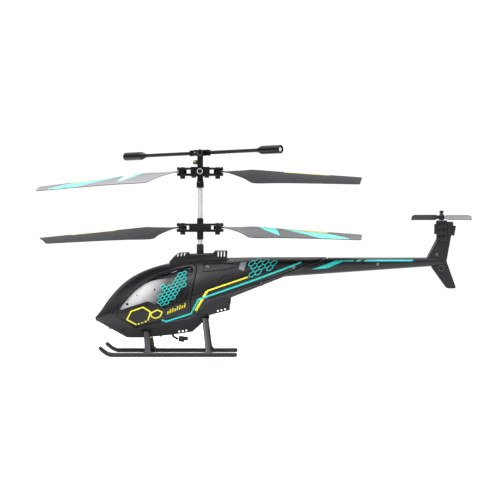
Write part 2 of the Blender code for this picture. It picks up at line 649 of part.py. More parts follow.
# ---------------------------------------------------------------- rotor blades
# along the blade from its screw: (distance, leading edge, trailing edge, pitch in degrees, thickness)
BLADE = [(1.2, 1.7, -1.7, 0, 1.2), (4.4, 1.8, -1.9, 5, 1.1), (7.5, 3.0, -4.6, 9, 0.9),
         (14.2, 5.2, -11.4, 13, 0.9), (18.0, 6.4, -16.8, 14.5, 0.9), (20.6, 6.5, -17.2, 14.5, 0.9),
         (32.0, 6.4, -16.2, 12.6, 0.85), (50.0, 6.1, -14.8, 10.8, 0.8), (66.0, 5.8, -13.4, 9.6, 0.75),
         (72.6, 5.2, -12.4, 9, 0.7), (74.9, 3.0, -9.8, 9, 0.6)]
BLADE_ROOT_R = 2.3
BLADE_ROOT_HALF = 0.7


def blade(name, droop, hand, look, parent):
    """A twisted blade with its screw eye at the origin. hand is 1 where the leading edge is on the left."""
    slope = math.tan(math.radians(droop))
    rings = []
    for s, lead, trail, pitch, thick in BLADE:
        turn = math.radians(pitch)
        chord = lead - trail
        section = [(lead, 0.0), (lead - 0.3 * chord, 0.55), (trail + 0.35 * chord, 0.35), (trail, 0.0),
                   (trail + 0.35 * chord, -0.25), (lead - 0.3 * chord, -0.3)]
        points = []
        for y, share in section:
            thin = 0.12 if share == 0.0 else share * thick
            for t in ((thin, -thin) if share == 0.0 else (thin,)):
                z = y * math.sin(turn) + t * math.cos(turn) - slope * max(0.0, s - 1.2)
                points.append((s, hand * (y * math.cos(turn) - t * math.sin(turn)), z))
        rings.append([points[1], points[0], points[2], points[3], points[4], points[5], points[6],
                      points[7]])
    made = loft(name, rings, look, parent)
    eye = turned(name + "_eye", rod(BLADE_ROOT_R, -BLADE_ROOT_HALF, BLADE_ROOT_HALF), look, 16,
                 parent=parent)
    join(made, eye)
    return cut(made, turned(name + "_hole", rod(0.6 + FIT, -4, 4), look, 12, parent=parent))


def blade_screw(name, x, low, high, look, parent):
    """A blade's pivot screw, head up."""
    return turned(name, [(0, low), (0.6, low), (0.6, high), (1.15, high + 0.05), (1.15, high + 0.5),
                         (0.8, high + 0.75), (0, high + 0.75)], look, 12, (x, 0, 0), parent=parent)


def hub_bar(name, centre, half_block, look, parent, reach=12.0):
    """A bar with a forked end for each blade, built solid and then slotted."""
    z_low, z_high = centre - 2.3, centre + 2.1
    bar = box(name, (-reach, -2.9, z_low), (reach, 2.9, z_high), look, parent=parent, bevel=0.25)
    for side in (-1, 1):
        boss = rod(1.35, z_low - 1.4, z_low + 0.5)
        join(bar, turned(f"{name}_boss_{side}", boss, look, 12, (side * BLADE_SCREW_R, 0, 0),
                         parent=parent))
        low, high = sorted((side * half_block, side * (reach + 1)))
        cut(bar, box(f"{name}_slot_{side}", (low, -5, centre - 1.0), (high, 5, centre + 1.0), look,
                     parent=parent))
        cut(bar, turned(f"{name}_screw_hole_{side}", rod(0.6 + FIT, z_low - 3, z_high + 3), look, 12,
                        (side * BLADE_SCREW_R, 0, 0), parent=parent))
    return bar


def build_lower_rotor(looks):
    axis = empty("lower_head_axis", (MAST_X, 0, 0), LOWER_TURN)
    bar = hub_bar("lower_hub", LOWER_Z, 5.5, looks["rotor"], axis)
    join(bar, turned("lower_collar", rod(1.6, 59.7, 70.8), looks["rotor"], 16, parent=axis))
    cut(bar, turned("lower_bore", [(0, 58), (OUTER_SHAFT_R + FIT, 58), (OUTER_SHAFT_R + FIT, 66.6),
                                   (1.0, 66.6), (1.0, 72), (0, 72)], looks["rotor"], 16, parent=axis))
    for word, side, droop in (("right", 1, 3.6), ("left", -1, 4.9)):
        pivot = empty(f"lower_blade_{word}_pivot", (side * BLADE_SCREW_R, 0, LOWER_Z),
                      0 if side > 0 else math.pi)
        pivot.parent = axis
        blade(f"lower_blade_{word}", droop, 1, looks["blade"], pivot)
        blade_screw(f"lower_blade_screw_{word}", side * BLADE_SCREW_R, LOWER_Z - 3.5, LOWER_Z + 2.1,
                    looks["black_screw"], axis)


def build_upper_rotor(looks):
    axis = empty("upper_head_axis", (MAST_X, 0, 0))
    turned("shaft_sleeve", ring(INNER_SHAFT_R + FIT, 1.25, 71.1, 86.3), looks["shaft"], 16, parent=axis)
    post = [(0, 93.8), (INNER_SHAFT_R + FIT, 93.8), (INNER_SHAFT_R + FIT, 86.6), (1.87, 86.6),
            (1.87, 89.4), (1.5, 90.6), (1.5, 105.6), (1.0, 106.3), (0, 106.3)]
    head = turned("rotor_head_post", post, looks["rotor"], 20, parent=axis)
    cut(head, turned("lower_pin_hole", rod(0.5 + FIT, -3, 3), looks["rotor"], 12, (0, 0, UPPER_Z), "X",
                     parent=axis))
    turned("holder_pivot_pin", rod(0.5, -4.4, 4.4), looks["steel"], 12, (0, 0, UPPER_Z), "X", parent=axis)
    turned("post_screw", [(0, -3.8), (0.85, -3.8), (1.15, -3.4), (1.15, -2.3), (0.6, -2.25), (0.6, -1.7),
                          (0, -1.7)], looks["brass"], 12, (0, 0, 99.9), "X", parent=axis)

    bar = hub_bar("blade_holder", UPPER_Z, 4.9, looks["rotor"], axis)
    join(bar, box("holder_block", (-4.9, -3.9, 92.5), (4.9, 3.9, 97.4), looks["rotor"], parent=axis))
    for side in (-1, 1):
        join(bar, turned(f"holder_foot_{side}", rod(1.2, 91.8, 93), looks["rotor"], 12,
                         (side * 3.4, 0, 0), parent=axis))
        pin = [(0, 3.5), (0.55, 3.5), (0.55, 5.95), (0.95, 6.0), (0.95, 6.4), (0, 6.4)]
        join(bar, turned(f"holder_link_pin_{side}", [(r, side * h) for r, h in pin], looks["rotor"], 12,
                         (0, 0, UPPER_Z), "Y", parent=axis))
    cut(bar, box("post_space", (-1.95, -2.25, 90), (1.95, 2.25, 99), looks["rotor"], parent=axis),
        turned("holder_pin_hole", rod(0.5 + FIT, -4.7, 4.7), looks["rotor"], 12, (0, 0, UPPER_Z), "X",
               parent=axis))
    for word, side, droop in (("right", 1, 3.2), ("left", -1, 6.6)):
        pivot = empty(f"upper_blade_{word}_pivot", (side * BLADE_SCREW_R, 0, UPPER_Z),
                      0 if side > 0 else math.pi)
        pivot.parent = axis
        blade(f"upper_blade_{word}", droop, -1, looks["blade"], pivot)
        blade_screw(f"upper_blade_screw_{word}", side * BLADE_SCREW_R, UPPER_Z - 3.5, UPPER_Z + 2.1,
                    looks["black_screw"], axis)

    build_flybar(looks)
    for side, word in ((-1, "left"), (1, "right")):
        link = box("link_" + word, (-1.35, side * LINK_Y - 0.65, UPPER_Z + 0.4),
                   (1.35, side * LINK_Y + 0.65, FLYBAR_Z - 0.4), looks["rotor"], parent=axis)
        for z in (UPPER_Z, FLYBAR_Z):
            eye = rod(1.7, side * LINK_Y - 0.65, side * LINK_Y + 0.65)
            join(link, turned(f"link_{word}_eye_{z:.0f}", eye, looks["rotor"], 16, (0, 0, z), "Y",
                              parent=axis))
        for z in (UPPER_Z, FLYBAR_Z):
            cut(link, turned(f"link_{word}_hole_{z:.0f}", rod(0.85, -9, 9), looks["rotor"], 12, (0, 0, z),
                             "Y", parent=axis))


def build_flybar(looks):
    """The weighted bar that seesaws on top of the post."""
    axis = empty("flybar_axis", (MAST_X, 0, FLYBAR_Z), FLYBAR_TURN)
    half = FLYBAR_HALF
    side_profile = [(0.95, 0), (0.95, half - 15.5), (2.2, half - 12.2), (2.2, half - 0.3), (2.0, half)]
    profile = [(0, -half)] + [(r, -h) for r, h in side_profile[::-1]] + side_profile[1:] + [(0, half)]
    bar = turned("flybar", profile, looks["rotor"], 16, axis="X", parent=axis)
    join(bar, box("flybar_block", (-6.2, -1.5, -1.5), (6.2, 1.5, 1.55), looks["rotor"], parent=axis,
                  bevel=0.2),
         turned("flybar_hub", rod(3.7, -1.5, 1.5), looks["rotor"], 20, parent=axis))
    pin = [(0, 3.2), (0.55, 3.2), (0.55, 5.95), (0.95, 6.0), (0.95, 6.4), (0, 6.4)]
    for side in (-1, 1):
        bm = bmesh.new()
        add_turned(bm, [(r, side * h) for r, h in pin], 12, (0, 0, 0), "Y")
        bmesh.ops.rotate(bm, verts=bm.verts, matrix=Matrix.Rotation(-FLYBAR_TURN, 3, "Z"))
        join(bar, finish_mesh(f"flybar_link_pin_{side}", bm, looks["rotor"], axis))
    cut(bar, turned("flybar_centre", rod(2.15, -5, 5), looks["rotor"], 20, parent=axis),
        turned("flybar_pivot_hole", rod(0.5 + FIT, -5, 5), looks["rotor"], 12, axis="Y", parent=axis))
    for side, word in ((-1, "rear"), (1, "front")):
        depth = [(half + 1) * side, (half - 10) * side]
        cut(bar, turned(f"weight_bore_{word}", rod(1.5, min(depth), max(depth)), looks["rotor"], 16,
                        axis="X", parent=axis))
        ends = [(half - 0.15) * side, (half - 9.7) * side]
        turned("flybar_weight_" + word, rod(1.5 - FIT, min(ends), max(ends)), looks["chrome"], 16,
               axis="X", parent=axis)
    post_axis = empty("flybar_pin_axis", (MAST_X, 0, FLYBAR_Z), FLYBAR_TURN)
    turned("flybar_pivot_pin", rod(0.5, -4.6, 4.6), looks["brass"], 12, axis="Y", parent=post_axis)
    cut(bpy.data.objects["rotor_head_post"],
        turned("post_pin_hole", rod(0.5 + FIT, -3, 3), looks["rotor"], 12, axis="Y", parent=post_axis))


# ---------------------------------------------------------------- switch and charging lead
def build_underside(looks):
    body = box("switch_body", (-66.2, -2.4, 11.6), (-58.8, 2.4, 14.6), looks["switch"])
    cut(body, box("switch_track", (-64.6, -1.0, 11), (-60.4, 1.0, 13.2), looks["switch"]))
    knob = box("switch_slider", (-64.3, -0.7, 8.7), (-62.7, 0.7, 11.3), looks["slider"])
    join(knob, box("slider_foot", (-64.3, -0.7, 11.0), (-62.7, 0.7, 12.8), looks["slider"]))
    path = [(-43.2, 0, 12.2), (-43.0, 0, 10.7), (-42.2, 0, 9.0), (-41.3, 0, 8.9), (-40.6, 0, 8.1),
            (-39.95, 0, 8.25)]
    rings = []
    for ring_points, p in zip(tube_rings(path, 0.62, 8), path):
        rings.append([(q.x, q.y * 2.0, q.z) for q in ring_points])
    loft("charge_lead", rings, looks["lead"])
    tilt = Matrix.Translation((-37.25, 0, 8.1)) @ Matrix.Rotation(math.radians(7), 4, "Y")
    plug = box("charge_plug", (-2.35, -2.2, -0.55), (2.35, 2.2, 1.25), looks["plug"], tilt)
    join(plug, box("plug_key", (-2.3, -1.5, -1.55), (0.55, 1.5, 0.2), looks["plug"], tilt))
    cut(plug, box("plug_socket", (-0.2, -1.5, -0.05), (3.5, 1.5, 0.75), looks["plug"], tilt))


def make_looks():
    return {
        "shell": material("matte_black_shell", (0.022, 0.023, 0.026), 0.42),
        "pan": material("black_pan", (0.018, 0.019, 0.022), 0.5),
        "boom": material("black_boom", (0.02, 0.021, 0.024), 0.4),
        "skid": material("dark_grey_skid", (0.045, 0.046, 0.052), 0.45),
        "glass": material("smoked_window", (0.02, 0.022, 0.028), 0.05, 0.0, 0.5),
        "sensor": material("grey_sensor_window", (0.24, 0.24, 0.27), 0.2, 0.0, 0.8),
        "led": material("clear_led", (0.8, 0.78, 0.7), 0.1, 0.0, 0.8),
        "steel": material("steel", (0.55, 0.55, 0.56), 0.3, 1.0),
        "chrome": material("polished_weight", (0.85, 0.85, 0.86), 0.15, 1.0),
        "brass": material("brass", (0.72, 0.55, 0.28), 0.3, 1.0),
        "black_screw": material("black_screw", (0.03, 0.03, 0.032), 0.35, 0.8),
        "shaft": material("pale_shaft", (0.72, 0.71, 0.69), 0.3),
        "rotor": material("black_nylon", (0.012, 0.013, 0.016), 0.35),
        "blade": material("grey_blade", (0.2, 0.2, 0.22), 0.35),
        "gear": material("white_nylon", (0.8, 0.8, 0.78), 0.5),
        "frame": material("frame_plastic", (0.03, 0.03, 0.035), 0.6),
        "battery": material("silver_pouch", (0.6, 0.6, 0.62), 0.3, 0.6),
        "board": material("board_green", (0.02, 0.14, 0.07), 0.5),
        "insert": material("silver_insert", (0.62, 0.62, 0.63), 0.35),
        "switch": material("switch_case", (0.02, 0.02, 0.02), 0.5),
        "slider": material("switch_knob", (0.75, 0.75, 0.75), 0.5),
        "lead": material("lead_rubber", (0.03, 0.028, 0.03), 0.55),
        "plug": material("plug_black", (0.006, 0.006, 0.007), 0.4),
    }


def main():
    for obj in list(bpy.data.objects):
        bpy.data.objects.remove(obj)
    looks = make_looks()
    build_body(looks)
    build_skids(looks)
    build_mast_cover(looks)
    build_boom(looks)
    build_tail(looks)
    build_power_train(looks)
    build_lower_rotor(looks)
    build_upper_rotor(looks)
    build_underside(looks)


main()
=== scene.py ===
"""The looks of a palm-sized coaxial remote control helicopter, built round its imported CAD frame.

Lengths are in millimetres in the CAD's frame, and MM turns them into metres: +Z up, the nose
points to -X, the left side is -Y. Fine shells, blades, bars and decals replace or cover the plain
CAD solids. The other CAD solids stay: each gets a finish, and most get a small bevel.
"""

import json
import math

import bmesh
import bpy
from mathutils import Matrix, Vector


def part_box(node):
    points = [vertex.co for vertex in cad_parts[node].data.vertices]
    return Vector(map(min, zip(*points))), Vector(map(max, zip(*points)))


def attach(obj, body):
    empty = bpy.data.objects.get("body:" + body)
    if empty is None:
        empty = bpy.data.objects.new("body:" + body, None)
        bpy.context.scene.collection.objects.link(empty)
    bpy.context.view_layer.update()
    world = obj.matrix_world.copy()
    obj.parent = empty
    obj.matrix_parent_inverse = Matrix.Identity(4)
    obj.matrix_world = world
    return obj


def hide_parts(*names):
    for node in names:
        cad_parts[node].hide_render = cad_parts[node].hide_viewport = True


MM = 0.001
SIDES = ((-1, "left"), (1, "right"))
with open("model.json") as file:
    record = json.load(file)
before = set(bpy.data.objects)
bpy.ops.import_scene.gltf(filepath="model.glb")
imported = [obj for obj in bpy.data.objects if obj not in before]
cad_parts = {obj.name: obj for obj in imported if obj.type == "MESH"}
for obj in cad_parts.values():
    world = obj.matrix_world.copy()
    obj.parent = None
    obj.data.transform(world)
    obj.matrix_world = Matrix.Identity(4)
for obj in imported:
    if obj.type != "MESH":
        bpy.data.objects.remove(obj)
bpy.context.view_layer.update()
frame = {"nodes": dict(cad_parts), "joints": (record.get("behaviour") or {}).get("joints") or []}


def node_box(node):
    low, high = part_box(node)
    return low / MM, high / MM


def node_centre(node):
    low, high = node_box(node)
    return (low + high) / 2


JOINTS = {joint["name"]: joint for joint in frame["joints"]}
MAST_X = node_centre("inner_shaft").x
TAIL_X = node_centre("tail_shaft").x
UPPER_Z = JOINTS["blade_holder_pitch"]["pos_m"][2] / MM
LOWER_Z = JOINTS["lower_rotor_spin"]["pos_m"][2] / MM
FLYBAR_Z = JOINTS["flybar_teeter"]["pos_m"][2] / MM
FLYBAR_TURN = -math.atan2(*JOINTS["flybar_teeter"]["axis"][:2])
LOWER_TURN = math.radians(-5)

# ---------------------------------------------------------------- the body's lines, (x, z) or (x, y)
ROOF = [(-83.0, 19.3), (-80.2, 22.8), (-75.7, 29.2), (-68.9, 36.5), (-62.1, 41.3), (-54.2, 44.8),
        (-46.3, 47.1), (-38.0, 48.7), (-29.4, 49.7), (-14.2, 50.3), (15.0, 50.6), (42.0, 50.6)]
HALF_WIDTH = [(-83.0, 2.4), (-80.2, 5.6), (-75.0, 9.2), (-68.0, 12.3), (-60.0, 14.6), (-50.0, 16.0),
              (-40.0, 16.4), (-30.0, 15.6), (-20.0, 13.9), (-10.0, 11.8), (0.0, 9.8), (15.0, 7.4),
              (30.0, 6.0), (42.0, 5.4)]
BELT = [(-83.0, 18.9), (-75.0, 20.5), (-60.0, 22.5), (-40.0, 26.0), (-20.0, 33.0), (0.0, 40.5),
        (15.0, 44.0), (42.0, 46.5)]
KEEL = [(-83.0, 17.5), (-75.0, 13.0), (-66.0, 9.1), (-58.0, 9.1), (-44.0, 10.5), (-32.0, 13.0),
        (-20.0, 22.0), (-10.0, 30.5), (4.0, 36.2), (15.0, 40.5), (42.0, 42.0)]
UNDERSIDE = [(-83.0, 18.0), (-80.7, 17.0), (-75.7, 14.3), (-66.0, 9.1), (-58.8, 9.1), (-44.0, 10.5),
             (-32.2, 12.2), (-28.9, 15.1), (-23.2, 20.7), (-21.5, 21.2), (-13.1, 23.2), (-12.7, 29.6),
             (3.6, 36.0)]
SEAM = [(-83.0, 18.7), (-61.8, 14.5), (-48.0, 17.4), (-33.0, 20.2), (-24.1, 28.9), (3.8, 37.6)]
DIAGONAL = [(4.0, 36.2), (15.1, 40.5), (38.4, 50.3)]
SHELL_START = -82.9
PAN_END = 3.8
SHELL_END = 37.2
BOOM_END = 91.0
SHELL_WALL = 1.2

WINDOW = [(-70.9, 22.9), (-66.2, 29.0), (-62.5, 33.2), (-57.9, 36.8), (-53.8, 39.3), (-49.0, 41.6),
          (-40.1, 44.3), (-33.2, 45.7), (-31.6, 44.6), (-34.5, 29.0), (-46.2, 24.4), (-54.5, 28.2)]
DOOR = [(-73.3, 21.8), (-69.3, 26.6), (-65.2, 30.8), (-60.9, 35.2), (-56.2, 38.9), (-49.4, 42.9),
        (-43.3, 45.0), (-32.2, 47.0), (-30.0, 45.3), (-33.0, 29.6), (-33.3, 22.0), (-61.7, 15.4)]
SENSOR_WINDOW = [(-8.6, 44.6), (-7.6, 48.0), (-4.2, 48.4), (-5.7, 43.4)]
RECESS = [(-26.7, 43.4), (-26.7, 47.3), (-10.4, 47.9), (-11.6, 45.2), (-16.6, 44.2)]
RECESS_EDGE = [(-10.6, 45.3), (-16.6, 44.0), (-26.8, 43.1), (-26.8, 47.4)]
CREASES = [RECESS_EDGE, [(-31.9, 31.0), (-26.1, 33.2), (-18.9, 37.5), (-17.0, 40.2), (-13.5, 41.9)],
           [(-25.2, 24.9), (-23.4, 29.9), (-8.2, 34.8), (3.6, 38.2), (14.9, 41.9), (35.0, 50.1)]]
MOULDING = [(-72.5, 21.0), (-66.2, 30.5), (-57.9, 37.3), (-52.0, 39.4), (-40.0, 41.0), (-38.5, 37.0),
            (-46.0, 26.5), (-54.8, 26.8)]
CHIN = [(-82.4, 18.7), (-80.9, 19.5), (-73.9, 22.0), (-62.6, 15.2), (-62.3, 14.6), (-63.3, 14.2),
        (-82.2, 18.1)]
MOULDING_HOLES = [(-66.0, 26.7, 0.75, 0.65), (-60.9, 31.4, 0.32, 0.3), (-51.6, 34.4, 0.35, 0.8)]
DOOR_LIFT = 0.16
PANE_LIFT = -0.3
DECAL_LIFT = 0.05
SHEET_STEP = 0.9
INK = 0.03  # the thickness of a printed or painted sheet


def linear(table, x):
    if x <= table[0][0]:
        return table[0][1]
    for (x0, v0), (x1, v1) in zip(table, table[1:]):
        if x <= x1:
            return v0 + (v1 - v0) * (x - x0) / (x1 - x0)
    return table[-1][1]


def smooth(table, x):
    """Cubic interpolation with limited slopes, as in the CAD."""
    x = min(max(x, table[0][0]), table[-1][0])
    steps = [(b[1] - a[1]) / (b[0] - a[0]) for a, b in zip(table, table[1:])]

    def slope(i):
        if i in (0, len(table) - 1):
            return steps[min(i, len(steps) - 1)]
        before, after = steps[i - 1], steps[i]
        return 0.0 if before * after <= 0 else 2 * before * after / (before + after)

    for i, ((x0, v0), (x1, v1)) in enumerate(zip(table, table[1:])):
        if x <= x1:
            h = x1 - x0
            t = (x - x0) / h
            return (
                v0 * (1 + 2 * t) * (1 - t) ** 2
                + v1 * t * t * (3 - 2 * t)
                + h * slope(i) * t * (1 - t) ** 2
                - h * slope(i + 1) * t * t * (1 - t)
            )
    return table[-1][1]


def half_width(x, z):
    widest, belt = smooth(HALF_WIDTH, x), smooth(BELT, x)
    if z >= belt:
        rise = min(1.0, (z - belt) / (smooth(ROOF, x) - belt))
        return widest * (1 - rise**2.2) ** 0.55
    fall = min(1.0, (belt - z) / (belt - smooth(KEEL, x)))
    return widest * (1 - 0.38 * fall**1.6)


def shell_edge(x):
    return linear(SEAM, x) if x < PAN_END + 0.1 else linear(DIAGONAL, x)


def skin(x, z, side, lift=0.0):
    """A point of the body's side, lifted along the surface's normal."""
    step = 0.05
    along = (half_width(x + step, z) - half_width(x - step, z)) / (2 * step)
    up = (half_width(x, z + step) - half_width(x, z - step)) / (2 * step)
    normal = Vector((-along, 1, -up)).normalized()
    point = Vector((x, max(half_width(x, z), 0.15), z)) + lift * normal
    return Vector((point.x, side * max(point.y, 0.15), point.z))


def shell_share(x, z):
    """How far down a section a height is: 0 on the roof's middle, 1 on the shell's lower edge."""
    top = smooth(ROOF, x)
    return max(0.0, (top - z) / (top - shell_edge(x))) ** (1 / 1.8)


def shell_height(x, share):
    top = smooth(ROOF, x)
    return top - (top - shell_edge(x)) * share**1.8


# ---------------------------------------------------------------- finishes
def surface(name, colour, roughness, metallic=0.0, mottle=0.1, grain=0.25, bump=0.25, streak=None,
            coat=0.0, alpha=1.0, edge_wear_and_highlight=0.0, specular=0.5, painted_shade=None):
    """A moulded, painted or turned finish: colour and gloss drift slowly, and a fine grain stands up.

    grain is the grain's size in millimetres. streak stretches it along an axis, as turning or
    drawing does. The edge weight lightens convex edges, partly as wear and partly as a painted
    highlight. The shade ramp darkens the colour along a direction as painted shade, from one
    distance in millimetres to another.
    """
    made = bpy.data.materials.new(name)
    made.use_nodes = True
    nodes, links = made.node_tree.nodes, made.node_tree.links
    shader = nodes["Principled BSDF"]
    shader.inputs["Metallic"].default_value = metallic
    shader.inputs["Specular IOR Level"].default_value = specular
    shader.inputs["Alpha"].default_value = alpha
    shader.inputs["Coat Weight"].default_value = coat
    shader.inputs["Coat Roughness"].default_value = 0.08
    where = nodes.new("ShaderNodeTexCoord")
    stretch = nodes.new("ShaderNodeMapping")
    stretch.inputs["Scale"].default_value = streak or (1, 1, 1)
    links.new(where.outputs["Object"], stretch.inputs["Vector"])

    def noise(size, detail, vector):
        texture = nodes.new("ShaderNodeTexNoise")
        texture.inputs["Scale"].default_value = 1 / (size * MM)
        texture.inputs["Detail"].default_value = detail
        links.new(vector, texture.inputs["Vector"])
        return texture.outputs["Fac"]

    def ranged(value, low, high, start=0.3, end=0.7):
        node = nodes.new("ShaderNodeMapRange")
        node.inputs["From Min"].default_value = start
        node.inputs["From Max"].default_value = end
        node.inputs["To Min"].default_value = low
        node.inputs["To Max"].default_value = high
        links.new(value, node.inputs["Value"])
        return node.outputs["Result"]

    def product(a, b):
        node = nodes.new("ShaderNodeMath")
        node.operation = "MULTIPLY"
        links.new(a, node.inputs[0])
        links.new(b, node.inputs[1])
        return node.outputs[0]

    drift = noise(9, 3, where.outputs["Object"])
    fine = noise(grain, 4, stretch.outputs["Vector"])
    tone = nodes.new("ShaderNodeHueSaturation")
    tone.inputs["Color"].default_value = (*colour, 1)
    value = product(ranged(drift, 1 - mottle, 1 + mottle), ranged(fine, 1 - mottle, 1 + mottle))
    # Painted shade: the colour darkens along a fixed direction through the object.
    if painted_shade:
        direction, start, end, darkest = painted_shade
        along = nodes.new("ShaderNodeVectorMath")
        along.operation = "DOT_PRODUCT"
        links.new(where.outputs["Object"], along.inputs[0])
        along.inputs[1].default_value = direction
        value = product(value, ranged(along.outputs["Value"], 1, darkest, start * MM, end * MM))
    links.new(value, tone.inputs["Value"])
    colour_out = tone.outputs["Color"]
    # Convex edges lighten towards a paler colour: partly wear, partly a painted edge highlight.
    if edge_wear_and_highlight:
        edge = nodes.new("ShaderNodeNewGeometry")
        lit_and_worn_edge = nodes.new("ShaderNodeMix")
        lit_and_worn_edge.data_type = "RGBA"
        links.new(ranged(edge.outputs["Pointiness"], 0, edge_wear_and_highlight, 0.53, 0.62), lit_and_worn_edge.inputs["Factor"])
        links.new(colour_out, lit_and_worn_edge.inputs["A"])
        lit_and_worn_edge.inputs["B"].default_value = (*[min(1, c * 2.2 + 0.05) for c in colour], 1)
        colour_out = lit_and_worn_edge.outputs["Result"]
    links.new(colour_out, shader.inputs["Base Color"])
    links.new(ranged(fine, max(0.02, roughness - 0.07), min(1, roughness + 0.07)),
              shader.inputs["Roughness"])
    if bump:
        relief = nodes.new("ShaderNodeBump")
        relief.inputs["Strength"].default_value = bump
        relief.inputs["Distance"].default_value = 0.03 * MM
        links.new(fine, relief.inputs["Height"])
        links.new(relief.outputs["Normal"], shader.inputs["Normal"])
    return made


